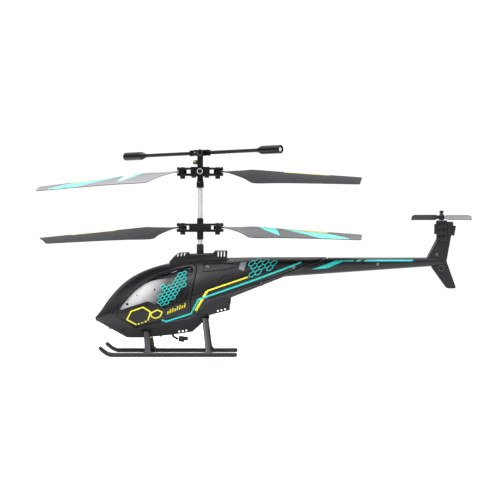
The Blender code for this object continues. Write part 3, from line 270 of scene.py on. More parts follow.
LOOKS = {
    "shell": surface("shell_black", (0.006, 0.0063, 0.0078), 0.36, grain=0.16, bump=0.3, edge_wear_and_highlight=0.12,
                     specular=0.36),
    "door": surface("door_black", (0.0075, 0.0078, 0.0095), 0.42, grain=0.2, bump=0.4, edge_wear_and_highlight=0.15,
                    specular=0.36),
    "pan": surface("pan_black", (0.009, 0.0094, 0.011), 0.5, grain=0.22, bump=0.45, edge_wear_and_highlight=0.15,
                   specular=0.34),
    "boom": surface("boom_black", (0.0065, 0.0068, 0.0082), 0.38, grain=0.2, bump=0.35, edge_wear_and_highlight=0.15,
                    specular=0.38),
    # Near-black and low-gloss: backings, groove floors and the cockpit insert; on the strut sockets and the
    # moulding's holes it is painted shade.
    "liner": surface("liner_and_shade_black", (0.003, 0.003, 0.0036), 0.7, grain=0.4, bump=0.3, specular=0.1),
    "skid": surface("skid_grey", (0.0085, 0.0088, 0.011), 0.34, grain=0.3, bump=0.35, edge_wear_and_highlight=0.25,
                    specular=0.45),
    "nylon": surface("nylon_black", (0.002, 0.0021, 0.0027), 0.26, grain=0.25, bump=0.2, edge_wear_and_highlight=0.12,
                     specular=0.3),
    "glass": surface("smoked_glass", (0.012, 0.013, 0.017), 0.24, mottle=0.05, grain=3, bump=0.03,
                     alpha=0.12, specular=0.5),
    "cabin_gloss": surface("cabin_gloss", (0.004, 0.0046, 0.006), 0.42, mottle=0.05, grain=3, bump=0.03,
                           specular=0.35),
    # Rings on the pushrods' black eyes: painted highlights, bright at the blade holder and dim at the flybar.
    "painted_highlight_ring": surface("painted_highlight_ring", (0.42, 0.42, 0.43), 0.35, 0.2, grain=0.2, bump=0.1),
    "painted_dim_highlight_ring": surface("painted_dim_highlight_ring", (0.06, 0.06, 0.065), 0.3, 0.2, grain=0.2, bump=0.1),
    "sensor": surface("sensor_grey", (0.2, 0.2, 0.23), 0.22, grain=0.5, bump=0.1, coat=0.5),
    "led": surface("led_resin", (0.5, 0.47, 0.42), 0.12, grain=0.8, bump=0.05, coat=0.8),
    "chin": surface("chin_black", (0.016, 0.0165, 0.018), 0.46, grain=0.22, bump=0.4, specular=0.36),
    # The silver moulding darkens towards the rear: painted shade, not a change in the silver.
    "moulding": surface("moulding_silver", (0.82, 0.82, 0.83), 0.4, metallic=0.1, grain=0.3,
                        mottle=0.04, bump=0.1, painted_shade=((0.95, 0, -0.3), -64.5, -54.0, 0.008)),
    "dull_steel": surface("dull_steel", (0.24, 0.24, 0.25), 0.42, 0.6, grain=0.2, bump=0.3),
    # A pale grey for thin strips, ribs and rings on black parts: a painted highlight, not their own colour.
    "rib": surface("painted_highlight_grey", (0.11, 0.11, 0.115), 0.4, grain=0.2, bump=0.2),
    "contact": surface("contact_brass", (0.6, 0.42, 0.16), 0.35, 0.8, grain=0.2, bump=0.1),
    "steel": surface("turned_steel", (0.56, 0.56, 0.57), 0.28, 1.0, grain=0.12, bump=0.2,
                     streak=(1, 1, 6)),
    "can": surface("motor_can", (0.5, 0.5, 0.52), 0.35, 1.0, grain=0.2, bump=0.2, streak=(1, 1, 0.1)),
    "chrome": surface("bright_steel", (0.95, 0.92, 0.86), 0.3, 0.35, grain=0.3, bump=0.05, mottle=0.03),
    "brass": surface("turned_brass", (0.4, 0.32, 0.2), 0.34, 0.9, grain=0.12, bump=0.2,
                     streak=(6, 6, 1)),
    "black_screw": surface("blackened_screw", (0.03, 0.03, 0.034), 0.34, 0.7, grain=0.2, bump=0.3,
                           edge_wear_and_highlight=0.4),
    "shaft": surface("pale_sleeve", (0.5, 0.49, 0.47), 0.34, grain=0.2, bump=0.02, mottle=0.02,
                     streak=(1, 1, 0.08), specular=0.4),
    "blade_top": surface("blade_silver", (0.235, 0.232, 0.25), 0.36, 0.3, grain=0.14, bump=0.15,
                         mottle=0.05),
    # A darker copy of blade_silver for the lower blades: painted shade on the same silver paint.
    "blade_painted_shade": surface("blade_silver_painted_shade", (0.13, 0.13, 0.14), 0.36, 0.3, grain=0.14, bump=0.15,
                         mottle=0.05),
    "blade_under": surface("blade_grey", (0.04, 0.0405, 0.044), 0.6, grain=0.3, bump=0.2,
                           specular=0.04),
    "tail_light": surface("tail_rotor_grey", (0.11, 0.11, 0.12), 0.36, grain=0.25, bump=0.15,
                          specular=0.35),
    "gear": surface("gear_nylon", (0.74, 0.73, 0.69), 0.45, grain=0.3, bump=0.2),
    "frame": surface("frame_plastic", (0.03, 0.03, 0.034), 0.55, grain=0.3, bump=0.4),
    "pouch": surface("battery_foil", (0.58, 0.58, 0.6), 0.3, 0.7, grain=1.2, bump=0.9),
    "board": surface("board_green", (0.02, 0.13, 0.07), 0.35, grain=0.6, bump=0.4, coat=0.3),
    "switch": surface("switch_case", (0.02, 0.02, 0.022), 0.5, grain=0.3, bump=0.3),
    "knob": surface("switch_knob", (0.7, 0.7, 0.68), 0.5, grain=0.3, bump=0.3),
    "lead": surface("lead_rubber", (0.026, 0.025, 0.027), 0.55, grain=0.3, bump=0.5),
    "turquoise": surface("ink_turquoise", (0.0, 0.54, 0.5), 0.36, grain=0.2, mottle=0.06, bump=0.2),
    "yellow": surface("ink_yellow", (0.8, 0.72, 0.02), 0.36, grain=0.2, mottle=0.05, bump=0.2),
    "pale_turquoise": surface("ink_pale_turquoise", (0.17, 0.86, 0.75), 0.4, grain=0.2, mottle=0.05,
                              bump=0.15),
    # Painted highlight, not print: the white glint over the upper blades' ticks.
    "pale_white": surface("painted_glint_white", (0.72, 0.93, 0.9), 0.4, grain=0.2, mottle=0.05, bump=0.15),
    "pale_yellow": surface("ink_pale_yellow", (0.84, 0.62, 0.2), 0.4, grain=0.2, mottle=0.05, bump=0.15),
}


# ---------------------------------------------------------------- mesh helpers
def new_object(name, bm):
    """Links an object made from a bmesh in millimetres."""
    bmesh.ops.scale(bm, verts=bm.verts, vec=(MM, MM, MM))
    mesh = bpy.data.meshes.new(name)
    bm.to_mesh(mesh)
    bm.free()
    obj = bpy.data.objects.new(name, mesh)
    bpy.context.scene.collection.objects.link(obj)
    return obj


def show(name, bm, body, looks, stands_for=(), slot=None, angle=38, bevel=0.0, wall=0.0):
    """Makes a piece from a bmesh in millimetres and lets it ride on a CAD body.

    A piece with a wall comes as an open sheet that already faces out. Any other is closed.
    """
    if not wall:
        bmesh.ops.recalc_face_normals(bm, faces=bm.faces)
    bmesh.ops.remove_doubles(bm, verts=bm.verts, dist=1e-4)
    obj = new_object(name, bm)
    mesh = obj.data
    for look in looks.split():
        mesh.materials.append(LOOKS[look])
    mesh.shade_smooth()
    if wall:
        solid = obj.modifiers.new("Wall", "SOLIDIFY")
        solid.thickness = wall * MM
        solid.offset = -1
    if bevel:
        soften(obj, bevel, angle)
    else:
        mesh.set_sharp_from_angle(angle=math.radians(angle))
    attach(obj, body)
    if stands_for:
        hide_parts(*stands_for.split())
    return obj


def soften(obj, width, angle=38):
    """Rounds the edges sharper than an angle and keeps the flats flat."""
    made = obj.modifiers.new("Soft edges", "BEVEL")
    made.width = width * MM
    made.segments = 2
    made.limit_method = "ANGLE"
    made.angle_limit = math.radians(angle)
    made.harden_normals = True


def settle(obj):
    """Fixes a piece's modifiers into its mesh."""
    graph = bpy.context.evaluated_depsgraph_get()
    solid = bpy.data.meshes.new_from_object(obj.evaluated_get(graph))
    obj.modifiers.clear()
    obj.data = solid


def carve(obj, cutters):
    """Cuts bmeshes in millimetres out of a piece, for good."""
    if obj.modifiers:
        settle(obj)
    for bm in cutters:
        bmesh.ops.recalc_face_normals(bm, faces=bm.faces)
        cutter = new_object("cutter", bm)
        cut = obj.modifiers.new("Cut", "BOOLEAN")
        cut.object = cutter
        cut.operation = "DIFFERENCE"
        cut.solver = "MANIFOLD"
        settle(obj)
        bpy.data.objects.remove(cutter)


def add_rings(bm, rings, look=0, cap=True, closed=True):
    rows = [[bm.verts.new(p) for p in ring] for ring in rings]
    faces = []
    for a, b in zip(rows, rows[1:]):
        for i in range(len(a) if closed else len(a) - 1):
            j = (i + 1) % len(a)
            faces.append(bm.faces.new((a[i], a[j], b[j], b[i])))
    if cap:
        faces += [bm.faces.new(rows[0]), bm.faces.new(rows[-1][::-1])]
    for face in faces:
        face.material_index = look
    return faces


def add_turned(bm, profile, sides=32, place=None):
    """Turns a closed profile of (radius, height) about Z, then moves it by a matrix."""
    place = place or Matrix()
    rows = []
    for r, z in profile:
        turns = [2 * math.pi * (k + 0.5) / sides for k in range(sides)] if r else [0.0]
        rows.append([bm.verts.new(place @ Vector((r * math.cos(t), r * math.sin(t), z))) for t in turns])
    for a, b in zip(rows, rows[1:] + rows[:1]):
        if len(a) == len(b) == 1:
            continue
        for k in range(sides):
            j = (k + 1) % sides
            ends = (a[k % len(a)], a[j % len(a)], b[j % len(b)], b[k % len(b)])
            bm.faces.new(tuple(dict.fromkeys(ends)))


def turned(name, profile, body, looks, place=None, sides=32, **more):
    bm = bmesh.new()
    add_turned(bm, profile, sides, place)
    return show(name, bm, body, looks, **more)


def add_box(bm, low, high, place=None):
    size, middle = Vector(high) - Vector(low), (Vector(high) + Vector(low)) / 2
    at = Matrix.Translation(middle) @ Matrix.Diagonal((*size, 1))
    bmesh.ops.create_cube(bm, size=1, matrix=(place or Matrix()) @ at)


def box_mesh(low, high, place=None):
    bm = bmesh.new()
    add_box(bm, low, high, place)
    return bm


def rod_mesh(radius, low, high, place):
    bm = bmesh.new()
    add_turned(bm, rod(radius, low, high), 24, place)
    return bm


def prism(outline, near, far):
    """A mesh with an (x, z) outline and flat ends at two depths."""
    bm = bmesh.new()
    add_rings(bm, [[(x, y, z) for x, z in outline] for y in (near, far)])
    return bm


def leaning(where, degrees, axis="Y"):
    """A place tipped about an axis."""
    return Matrix.Translation(where) @ Matrix.Rotation(math.radians(degrees), 4, axis)


def at(x, y, z, axis="Z"):
    """A place, with local Z laid along an axis."""
    lay = {"Z": Matrix(), "X": Matrix.Rotation(math.pi / 2, 4, "Y"),
           "Y": Matrix.Rotation(-math.pi / 2, 4, "X")}[axis]
    return Matrix.Translation((x, y, z)) @ lay


def rod(radius, low, high):
    """Closed profile of a cylinder."""
    return [(0, low), (radius, low), (radius, high), (0, high)]


def resample(outline, step):
    """The same closed outline with a point at least every step."""
    points = []
    for a, b in zip(outline, outline[1:] + outline[:1]):
        a, b = Vector(a), Vector(b)
        count = max(1, math.ceil((b - a).length / step))
        points += [tuple(a.lerp(b, k / count)) for k in range(count)]
    return points


def round_corners(outline, radius, steps=4):
    """Rounds an outline's corners with short curves."""
    made = []
    for i, here in enumerate(outline):
        here = Vector(here)
        before, after = Vector(outline[i - 1]) - here, Vector(outline[(i + 1) % len(outline)]) - here
        reach = min(radius, before.length * 0.45, after.length * 0.45)
        start, end = here + before.normalized() * reach, here + after.normalized() * reach
        for k in range(steps + 1):
            t = k / steps
            made.append(tuple(start.lerp(here, t).lerp(here.lerp(end, t), t)))
    return made


def sheet(outlines, step, place, cuts=()):
    """Fills closed outlines, holes included, cuts the fill into small cells and places each point."""
    bm = bmesh.new()
    for outline in outlines:
        verts = [bm.verts.new((u, v, 0)) for u, v in outline]
        for a, b in zip(verts, verts[1:] + verts[:1]):
            bm.edges.new((a, b))
    bmesh.ops.triangle_fill(bm, edges=bm.edges, use_beauty=True)
    bmesh.ops.dissolve_limit(bm, angle_limit=0.01, verts=[], edges=bm.edges)
    for axis in (0, 1):
        values = [v.co[axis] for v in bm.verts]
        lines = [min(values) + step * (k + 0.5) for k in range(int((max(values) - min(values)) / step) + 1)]
        for line in lines + (list(cuts) if axis == 0 else []):
            centre, normal = [0, 0, 0], [0, 0, 0]
            centre[axis], normal[axis] = line, 1
            bmesh.ops.bisect_plane(bm, geom=bm.verts[:] + bm.edges[:] + bm.faces[:], dist=1e-5,
                                   plane_co=centre, plane_no=normal)
    for v in bm.verts:
        v.co = place(v.co.x, v.co.y)
    return bm


def face_out(bm, direction):
    """Turns an open sheet so that it faces a direction."""
    bm.normal_update()
    facing = sum((f.normal * f.calc_area() for f in bm.faces), Vector())
    if facing.dot(direction) < 0:
        bmesh.ops.reverse_faces(bm, faces=bm.faces)
    return bm


SHARE_SCALE = 30.0  # a section's 0 to 1 is about 30 mm long


def body_sheet(outlines, step, side, lift):
    """A sheet that lies on one side of the body. Its outlines are (x, z)."""
    flat = [[(x, SHARE_SCALE * shell_share(x, z)) for x, z in resample(o, step)] for o in outlines]

    def place(x, v):
        return skin(x, shell_height(x, v / SHARE_SCALE), side, lift)

    return face_out(sheet(flat, step, place), Vector((0, side, 0.3)))


def ribbon(bm, points, width, place, closed=False, step=1.2):
    """A stripe of constant width along (u, v) points, mitred at its corners."""
    points = [Vector(p) for p in points]
    count = len(points)
    edges = []
    for i, here in enumerate(points):
        before = here - points[i - 1] if i or closed else None
        after = points[(i + 1) % count] - here if i < count - 1 or closed else None
        before, after = before or after, after or before
        n1 = Vector((-before.y, before.x)).normalized()
        n2 = Vector((-after.y, after.x)).normalized()
        mitre = (n1 + n2).normalized()
        mitre *= width / 2 / max(0.4, mitre.dot(n1))
        edges.append((here + mitre, here - mitre))
    pairs = list(zip(edges, edges[1:] + edges[:1] if closed else edges[1:]))
    for (a0, a1), (b0, b1) in pairs:
        patch(bm, [a0, b0, b1, a1], place, step)


def patch(bm, corners, place, step=1.2):
    """A four-cornered area, cut into cells no longer than step."""
    a, b, c, d = [Vector(p) for p in corners]
    along = max(1, math.ceil(max((b - a).length, (c - d).length) / step))
    across = max(1, math.ceil(max((d - a).length, (c - b).length) / step))
    rows = []
    for i in range(along + 1):
        top, low = a.lerp(b, i / along), d.lerp(c, i / along)
        rows.append([bm.verts.new(place(*top.lerp(low, j / across))) for j in range(across + 1)])
    for r0, r1 in zip(rows, rows[1:]):
        for j in range(across):
            bm.faces.new((r0[j], r1[j], r1[j + 1], r0[j + 1]))


# ---------------------------------------------------------------- body shells, doors and windows
def wall_slot(points, width):
    """A narrow closed outline round a line."""
    left, right = [], []
    for i, here in enumerate(points):
        before, after = Vector(points[max(i - 1, 0)]), Vector(points[min(i + 1, len(points) - 1)])
        side = Vector((before.y - after.y, after.x - before.x)).normalized() * width / 2
        left.append(tuple(Vector(here) + side))
        right.append(tuple(Vector(here) - side))
    return left + right[::-1]


def grown(outline, distance):
    """Moves each side of a closed outline outwards, or inwards where distance is negative."""
    turn = sum(a[0] * b[1] - b[0] * a[1] for a, b in zip(outline, outline[1:] + outline[:1]))
    side = -1 if turn > 0 else 1
    moved = []
    for i, here in enumerate(outline):
        a = Vector(here) - Vector(outline[i - 1])
        b = Vector(outline[(i + 1) % len(outline)]) - Vector(here)
        n1 = Vector((-a.y, a.x)).normalized() * side
        n2 = Vector((-b.y, b.x)).normalized() * side
        middle = (n1 + n2).normalized()
        moved.append(tuple(Vector(here) + middle * distance / max(0.4, middle.dot(n1))))
    return moved


def round_outline(centre, radius):
    turns = [2 * math.pi * k / 16 for k in range(16)]
    return [(centre.x + radius * math.cos(t), centre.z + radius * math.sin(t)) for t in turns]


def dark_dot(bm, x, z, across, tall, side, lift):
    """A small dark oval sheet on the body's side: painted shade where a hole is."""
    middle = bm.verts.new(skin(x, z, side, lift))
    turns = [2 * math.pi * k / 12 for k in range(12)]
    rim = [bm.verts.new(skin(x + across * math.cos(t), z + tall * math.sin(t), side, lift)) for t in turns]
    for k in range(12):
        bm.faces.new((middle, rim[k], rim[(k + 1) % 12]))


def build_shells():
    frame_line = [(SHELL_START, 0), (SHELL_END, 0), (SHELL_END, 1), (SHELL_START, 1)]
    window, door = round_corners(WINDOW, 1.2), round_corners(DOOR, 1.0)
    sensor = round_corners(SENSOR_WINDOW, 0.5)
    for side, word in SIDES:

        def panel(name, looks, outlines, lift, wall, stands_for="", slot="matte_black_shell", bevel=0.12):
            bm = body_sheet(outlines, SHEET_STEP, side, lift)
            show(f"{name}_{word}", bm, "airframe", looks, stands_for, slot, 50, bevel, wall)

        flat = [[(x, SHARE_SCALE * v) for x, v in frame_line]]
        openings = [grown(door, 0.5), sensor, round_corners(RECESS, 0.8)]
        openings += [wall_slot(line, 0.42) for line in CREASES]
        if side < 0:
            openings.append(round_outline(node_centre("shell_screw_rear"), 1.05))
        for outline in openings:
            flat.append([(x, SHARE_SCALE * shell_share(x, z)) for x, z in resample(outline, SHEET_STEP)])

        def place(x, v, side=side):
            return skin(x, shell_height(x, v / SHARE_SCALE), side)

        cuts = [x for x, _ in SEAM[1:] + DIAGONAL[:2]]
        bm = face_out(sheet(flat, SHEET_STEP, place, cuts), Vector((0, side, 0.3)))
        show("shell_" + word, bm, "airframe", "shell", "fuselage_" + word, "matte_black_shell",
             angle=50, bevel=0.16, wall=SHELL_WALL)
        panel("door", "door", [door, grown(window, 0.1)], DOOR_LIFT, 1.1)
        panel("door_backing", "liner", [grown(DOOR, 1.2), grown(window, 0.7)], -1.25, 0.3, bevel=0)
        # A thin pale strip just below the pan's seam: a painted highlight along the seam's lip.
        bm = bmesh.new()
        ribbon(bm, [(x, z - 0.62) for x, z in SEAM[2:]], 0.2, lambda x, z, side=side: skin(x, z, side, 0.03))
        face_out(bm, Vector((0, side, 0.2)))
        show("seam_painted_highlight_" + word, bm, "airframe", "rib", slot="black_pan", wall=INK)
        panel("chin", "chin", [round_corners(CHIN, 0.3)], 0.14, 0.5, slot="black_pan")
        panel("window_rim", "shell", [grown(window, 1.0), grown(window, 0.05)], DOOR_LIFT + 0.3, 0.6)
        panel("window_pane", "glass", [grown(window, -0.2)], PANE_LIFT, 0.4, "window_" + word,
              "smoked_window", 0.1)
        panel("sensor_pane", "sensor", [grown(sensor, -0.08)], -0.15, 0.6,
              "sensor_window_" + word, "grey_sensor_window", 0.1)
        panel("recess", "door", [grown(RECESS, 0.6)], -0.45, 0.5, bevel=0)
        for i, line in enumerate(CREASES):
            panel(f"crease_{i}", "liner", [wall_slot(line, 1.6)], -0.5, 0.4, bevel=0)
        panel("cabin_lining", "cabin_gloss", [grown(WINDOW, 0.5)], -1.7, 0.3, "", "silver_insert", 0)
        panel("cabin_moulding", "moulding", [round_corners(MOULDING, 1.5)], -1.1, 0.4, "", "silver_insert",
              0.1)
        # Dark ovals on the silver moulding: painted shade standing for its holes.
        bm = bmesh.new()
        for x, z, across, tall in MOULDING_HOLES:
            dark_dot(bm, x, z, across, tall, side, -1.04)
        face_out(bm, Vector((0, side, 0.3)))
        show("moulding_holes_" + word, bm, "airframe", "liner", slot="silver_insert", wall=INK)


# ---------------------------------------------------------------- decals on the body
WINDOW_CELLS = {-1: (1, 2), 0: (0, 1, 2, 3), 1: (0, 1, 2, 3), 2: (-1, 0, 1, 2, 3), 3: (0, 1, 2, 3, 4),
                4: (-1, 0, 1, 2, 3), 5: (-2, 1, 2, 3), 6: (1, 2), 7: (1, 2)}
REAR_CELLS = {0: (0, 1, 3), 1: (0, 1, 2, 3), 2: (-1, 0, 1), 3: (-2, -1)}


def inside(outline, x, z):
    hit = False
    for (x0, z0), (x1, z1) in zip(outline, outline[1:] + outline[:1]):
        if (z0 > z) != (z1 > z) and x < x0 + (x1 - x0) * (z - z0) / (z1 - z0):
            hit = not hit
    return hit


def honeycomb(bm, origin, a, b, cells, line, place):
    """Joins skewed six-sided cells on the lattice of a and b. cells holds the steps along a by row."""
    a, b = Vector(a), Vector(b)
    corners = [(a + b) / 3, (2 * b - a) / 3, (b - 2 * a) / 3]
    corners += [-c for c in corners]
    drawn = set()
    for row, steps in cells.items():
        for step in steps:
            centre = Vector(origin) + step * a + row * b
            for p, q in zip(corners, corners[1:] + corners[:1]):
                middle = centre + (p + q) / 2
                key = (round(middle.x, 2), round(middle.y, 2))
                if key in drawn:
                    continue
                drawn.add(key)
                reach = (q - p).normalized() * line * 0.28
                ribbon(bm, [centre + p - reach, centre + q + reach], line, place)


def painted(side, lift):
    """Puts an (x, z) point just above the body's paint, or the door's where there is a door."""

    def place(x, z):
        return skin(x, z, side, (DOOR_LIFT if inside(DOOR, x, z) else 0) + lift)

    return place


def build_decals():
    for side, word in SIDES:
        place, above = painted(side, DECAL_LIFT), painted(side, 2 * DECAL_LIFT)

        def on_glass(x, z, side=side):
            return skin(x, z, side, PANE_LIFT + DECAL_LIFT)

        def decal(name, look, draw):
            bm = bmesh.new()
            draw(bm)
            face_out(bm, Vector((0, side, 0.2)))
            show(f"{name}_{word}", bm, "airframe", look, wall=INK)

        def turquoise(bm):
            ribbon(bm, [(-47.8, 18.5), (-45.3, 17.8), (-32.8, 21.8), (-28.9, 29.0), (2.5, 39.9),
                        (24.0, 48.0)], 0.88, above)

        def yellow(bm):
            ribbon(bm, [(-30.4, 23.2), (-24.7, 33.0)], 1.25, place)
            ribbon(bm, [(-25.0, 32.6), (-24.0, 33.5), (-3.6, 40.4)], 0.82, place)
            ribbon(bm, [(-60.7, 16.1), (-65.6, 18.6), (-63.4, 22.9), (-57.3, 25.0), (-53.4, 22.7),
                        (-54.8, 18.2)], 0.7, place)
            for k in range(3):
                start = Vector((-60.0 + 1.75 * k, 16.3 + 0.6 * k))
                ribbon(bm, [start, start + Vector((1.0, 0.34))], 0.75, place)
            ribbon(bm, [(-53.2, 22.1), (-49.8, 23.7), (-47.5, 22.6), (-48.6, 20.2), (-51.2, 19.4),
                        (-53.1, 20.5)], 0.62, place, closed=True)
            rise = Vector((8.6, 3.5)) / 7
            for k in range(8):
                foot = Vector((-45.0, 21.4)) + rise * k
                tall = 2.3 if k % 3 else 1.5
                patch(bm, [foot, foot + Vector((0.62, 0.26)), foot + Vector((0.95, 0.26 + tall)),
                           foot + Vector((0.33, tall))], place)

        def window_cells(bm):
            honeycomb(bm, (-48.5, 27.9), (2.2, 0.75), (1.1, 1.88), WINDOW_CELLS, 0.4, on_glass)

        def rear_cells(bm):
            honeycomb(bm, (-1.5, 41.8), (3.05, 1.08), (2.0, 2.6), REAR_CELLS, 0.42, place)

        decal("stripe_turquoise", "turquoise", turquoise)
        decal("stripe_yellow", "yellow", yellow)
        decal("honeycomb_window", "turquoise", window_cells)
        decal("honeycomb_rear", "turquoise", rear_cells)


# ---------------------------------------------------------------- belly
def pan_ring(x, count=9):
    """The pan's outer section from one upper edge round to the other, with rounded lower corners."""
    top, low = shell_edge(x) - 0.42, linear(UNDERSIDE, x)
    soft = min(1.6, (top - low) * 0.45)
    side = [(half_width(x, z), z) for z in (top + (low + soft - top) * k / (count - 1) for k in range(count))]
    wide = side[-1][0]
    foot = half_width(x, low) - 0.2
    for k in range(1, 5):
        angle = math.pi / 2 * k / 4
        side.append((wide - soft * (1 - math.cos(angle)) + (foot - wide) * math.sin(angle) * 0.5,
                     low + soft * (1 - math.sin(angle))))
    side += [(side[-1][0] * (1 - k / 4), low) for k in range(1, 4)]
    return [(x, -y, z) for y, z in side] + [(x, 0, low)] + [(x, y, z) for y, z in side[::-1]]


def build_belly():
    corners = [x for x, _ in UNDERSIDE + SEAM if -82.8 < x < 3.4]
    stations = sorted(set([-82.9 + 0.9 * k for k in range(96)] + corners + [c + 0.3 for c in corners]))
    bm = bmesh.new()
    add_rings(bm, [pan_ring(x) for x in stations if x < 3.5] + [pan_ring(3.9)], cap=False, closed=False)
    face_out(bm, Vector((0, 0, -1)))
    pan = show("pan_shell", bm, "airframe", "pan", "belly_pan", "black_pan", angle=32, wall=1.0)
    cutters = []
    for k in range(3):
        for x, z, tilt, slew in ((-39.4 + 1.85 * k, 11.9 + 0.27 * k, 2.75, 2.3),
                                 (-19.3 + 1.85 * k, 22.6 + 0.45 * k, 2.05, 1.0)):
            aim = leaning((x, 0, z), slew, "Z") @ Matrix.Rotation(math.radians(-tilt), 4, "X")
            cutters.append(box_mesh((-0.4, -30, -0.4), (0.4, 30, 0.4), aim))
    for side in (-1, 1):
        inner = side * (half_width(-67.9, 12.9) - 0.8)
        near, far = sorted((inner, side * 30))
        cutters.append(box_mesh((-1.4, near, -0.3), (1.4, far, 0.3), leaning((-67.9, 0, 12.9), -18)))
    cutters.append(box_mesh((-64.6, -1, 7), (-60.4, 1, 12)))
    cutters.append(box_mesh((-44.6, -1.9, 8), (-41.4, 1.9, 13)))
    cutters.append(rod_mesh(1.35, -3, 3, leaning(node_centre("nose_led"), -150)))
    carve(pan, cutters)
    # The sockets take the near-black liner as painted shade round the struts' tops.
    bm = bmesh.new()
    for top, foot, wide, deep in STRUTS:
        for side in (-1, 1):
            start, end = [Vector((x, side * y, z)) for x, y, z in (top, foot)]
            along = (end - start).normalized()
            ends = start + along * 0.2, start + along * 2.0
            rings = bar_rings(*ends, wide + 1.3, deep + 1.5)
            inner = bar_rings(*ends, wide + 0.3, deep + 0.3)
            add_rings(bm, [rings[0], rings[1], inner[1], inner[0]], cap=False)
    show("strut_sockets", bm, "airframe", "liner", slot="black_pan", bevel=0.12)
    bm = bmesh.new()
    for x in (-53.5, -48.6):
        dome = [(0, 0.55), (0.45, 0.5), (0.75, 0.25), (0.8, -0.8), (0, -0.8)]
        add_turned(bm, [(r, -h) for r, h in dome], 24,
                   at(x, -half_width(x, 10.0) + 2.2, linear(UNDERSIDE, x)))
    show("charge_contacts", bm, "airframe", "contact", slot="brass")


# ---------------------------------------------------------------- skids
SKID_R = 1.08
SKID_Z = 1.085
SKID_LINE_Y = 21.0
STRUTS = [((-55.9, 10.2, 13.5), (-54.5, SKID_LINE_Y, SKID_Z), 3.0, 1.7),
          ((-26.1, 9.4, 20.6), (-23.7, SKID_LINE_Y, SKID_Z), 2.7, 1.7)]
SKID_BEND_X = -72.3
SKID_TIP = (-78.6, 4.4)


def bar_rings(start, end, wide, deep, soft=0.0, scales=(1.0, 1.0)):
    start, end = Vector(start), Vector(end)
    along = Vector((1, 0, 0))
    across = (end - start).normalized().cross(along).normalized()
    rings = []
    for p, scale in zip((start, end), scales):
        a, b = wide / 2 * scale, deep / 2
        square = [(-a, -b), (a, -b), (a, b), (-a, b)]
        points = round_corners(square, soft, 3) if soft else square
        rings.append([p + along * u + across * v for u, v in points])
    return rings


def add_tube(bm, path, radius, sides=16):
    """A tube along a path that doesn't run across the body, with rounded ends."""
    rings = []
    for i, p in enumerate(path):
        before, after = Vector(path[max(i - 1, 0)]), Vector(path[min(i + 1, len(path) - 1)])
        direction = (after - before).normalized()
        side = direction.cross(Vector((0, 1, 0))).normalized()
        up = side.cross(direction).normalized()
        rings.append([Vector(p) + radius * (math.cos(t) * side + math.sin(t) * up)
                      for t in (2 * math.pi * k / sides for k in range(sides))])
    for index, inward in ((0, 1), (-1, -1)):
        middle = Vector(path[index])
        outward = (middle - Vector(path[index + inward])).normalized()
        extra = []
        for k in (1, 2, 3):
            angle = math.pi / 2 * k / 3.3
            shrink, reach = math.cos(angle), math.sin(angle) * radius * 0.9
            extra.append([middle + (q - middle) * shrink + outward * reach for q in rings[index]])
        rings = extra[::-1] + rings if index == 0 else rings + extra
    add_rings(bm, rings)


def build_skids():
    for side, word in SIDES:
        y = side * SKID_LINE_Y
        path = [(-10.1, y, SKID_Z), (SKID_BEND_X, y, SKID_Z)]
        for k in range(1, 13):
            t = k / 12
            path.append((SKID_BEND_X + (SKID_TIP[0] - SKID_BEND_X) * t, y,
                         SKID_Z + (SKID_TIP[1] - SKID_Z) * t**1.9))
        bm = bmesh.new()
        add_tube(bm, path, SKID_R)
        for top, foot, wide, deep in STRUTS:
            head = Vector((top[0], side * top[1], top[2] + 0.4))
            base = Vector((foot[0], y, foot[2]))
            along = (base - head).normalized()
            add_rings(bm, bar_rings(head, base, wide, deep, 0.5, (1.04, 0.96)))
            add_rings(bm, bar_rings(base - along * 2.4, base - along * 0.3, wide, deep + 0.2, 0.4,
                                    (0.9, 1.75)))
            add_rings(bm, bar_rings(head + along * 1.5, base - along * 2.0, 0.5, deep + 0.35, 0.15))
        show("skid_rail_" + word, bm, "airframe", "skid", "skid_" + word, "dark_grey_skid", angle=40)


# ---------------------------------------------------------------- boom and tail
BOOM_ROOF = 50.4
BOOM_HALF_WIDTHS = (4.4, 2.5)  # where it leaves the shells, and at its end
BOOM_KEEL_START = 15.0
BOOM_KEEL = (40.4, 45.8)  # at that x, and at the boom's end


def boom_section(x, count=7):
    if x < SHELL_END + 0.5:
        wall = min(SHELL_WALL, 0.35 * (smooth(ROOF, min(x, SHELL_END)) - shell_edge(min(x, SHELL_END))))
        top, wide = smooth(ROOF, x) - wall - 0.45, smooth(HALF_WIDTH, x) - wall - 0.65
    else:
        top = BOOM_ROOF
        first, last = BOOM_HALF_WIDTHS
        wide = first + (last - first) * (x - SHELL_END) / (BOOM_END - SHELL_END)
    first, last = BOOM_KEEL
    low = first + (last - first) * (x - BOOM_KEEL_START) / (BOOM_END - BOOM_KEEL_START)
    belt = low + 0.52 * (top - low)
    right = []
    for k in range(2 * count + 1):
        angle = math.pi / 2 - math.pi * k / (2 * count)
        up = math.sin(angle)
        z = belt + (top - belt) * up if up >= 0 else belt + (belt - low) * up
        right.append((wide * abs(math.cos(angle)) ** 0.72, z))
    return [(x, y, z) for y, z in right] + [(x, -y, z) for y, z in right[-2:0:-1]]


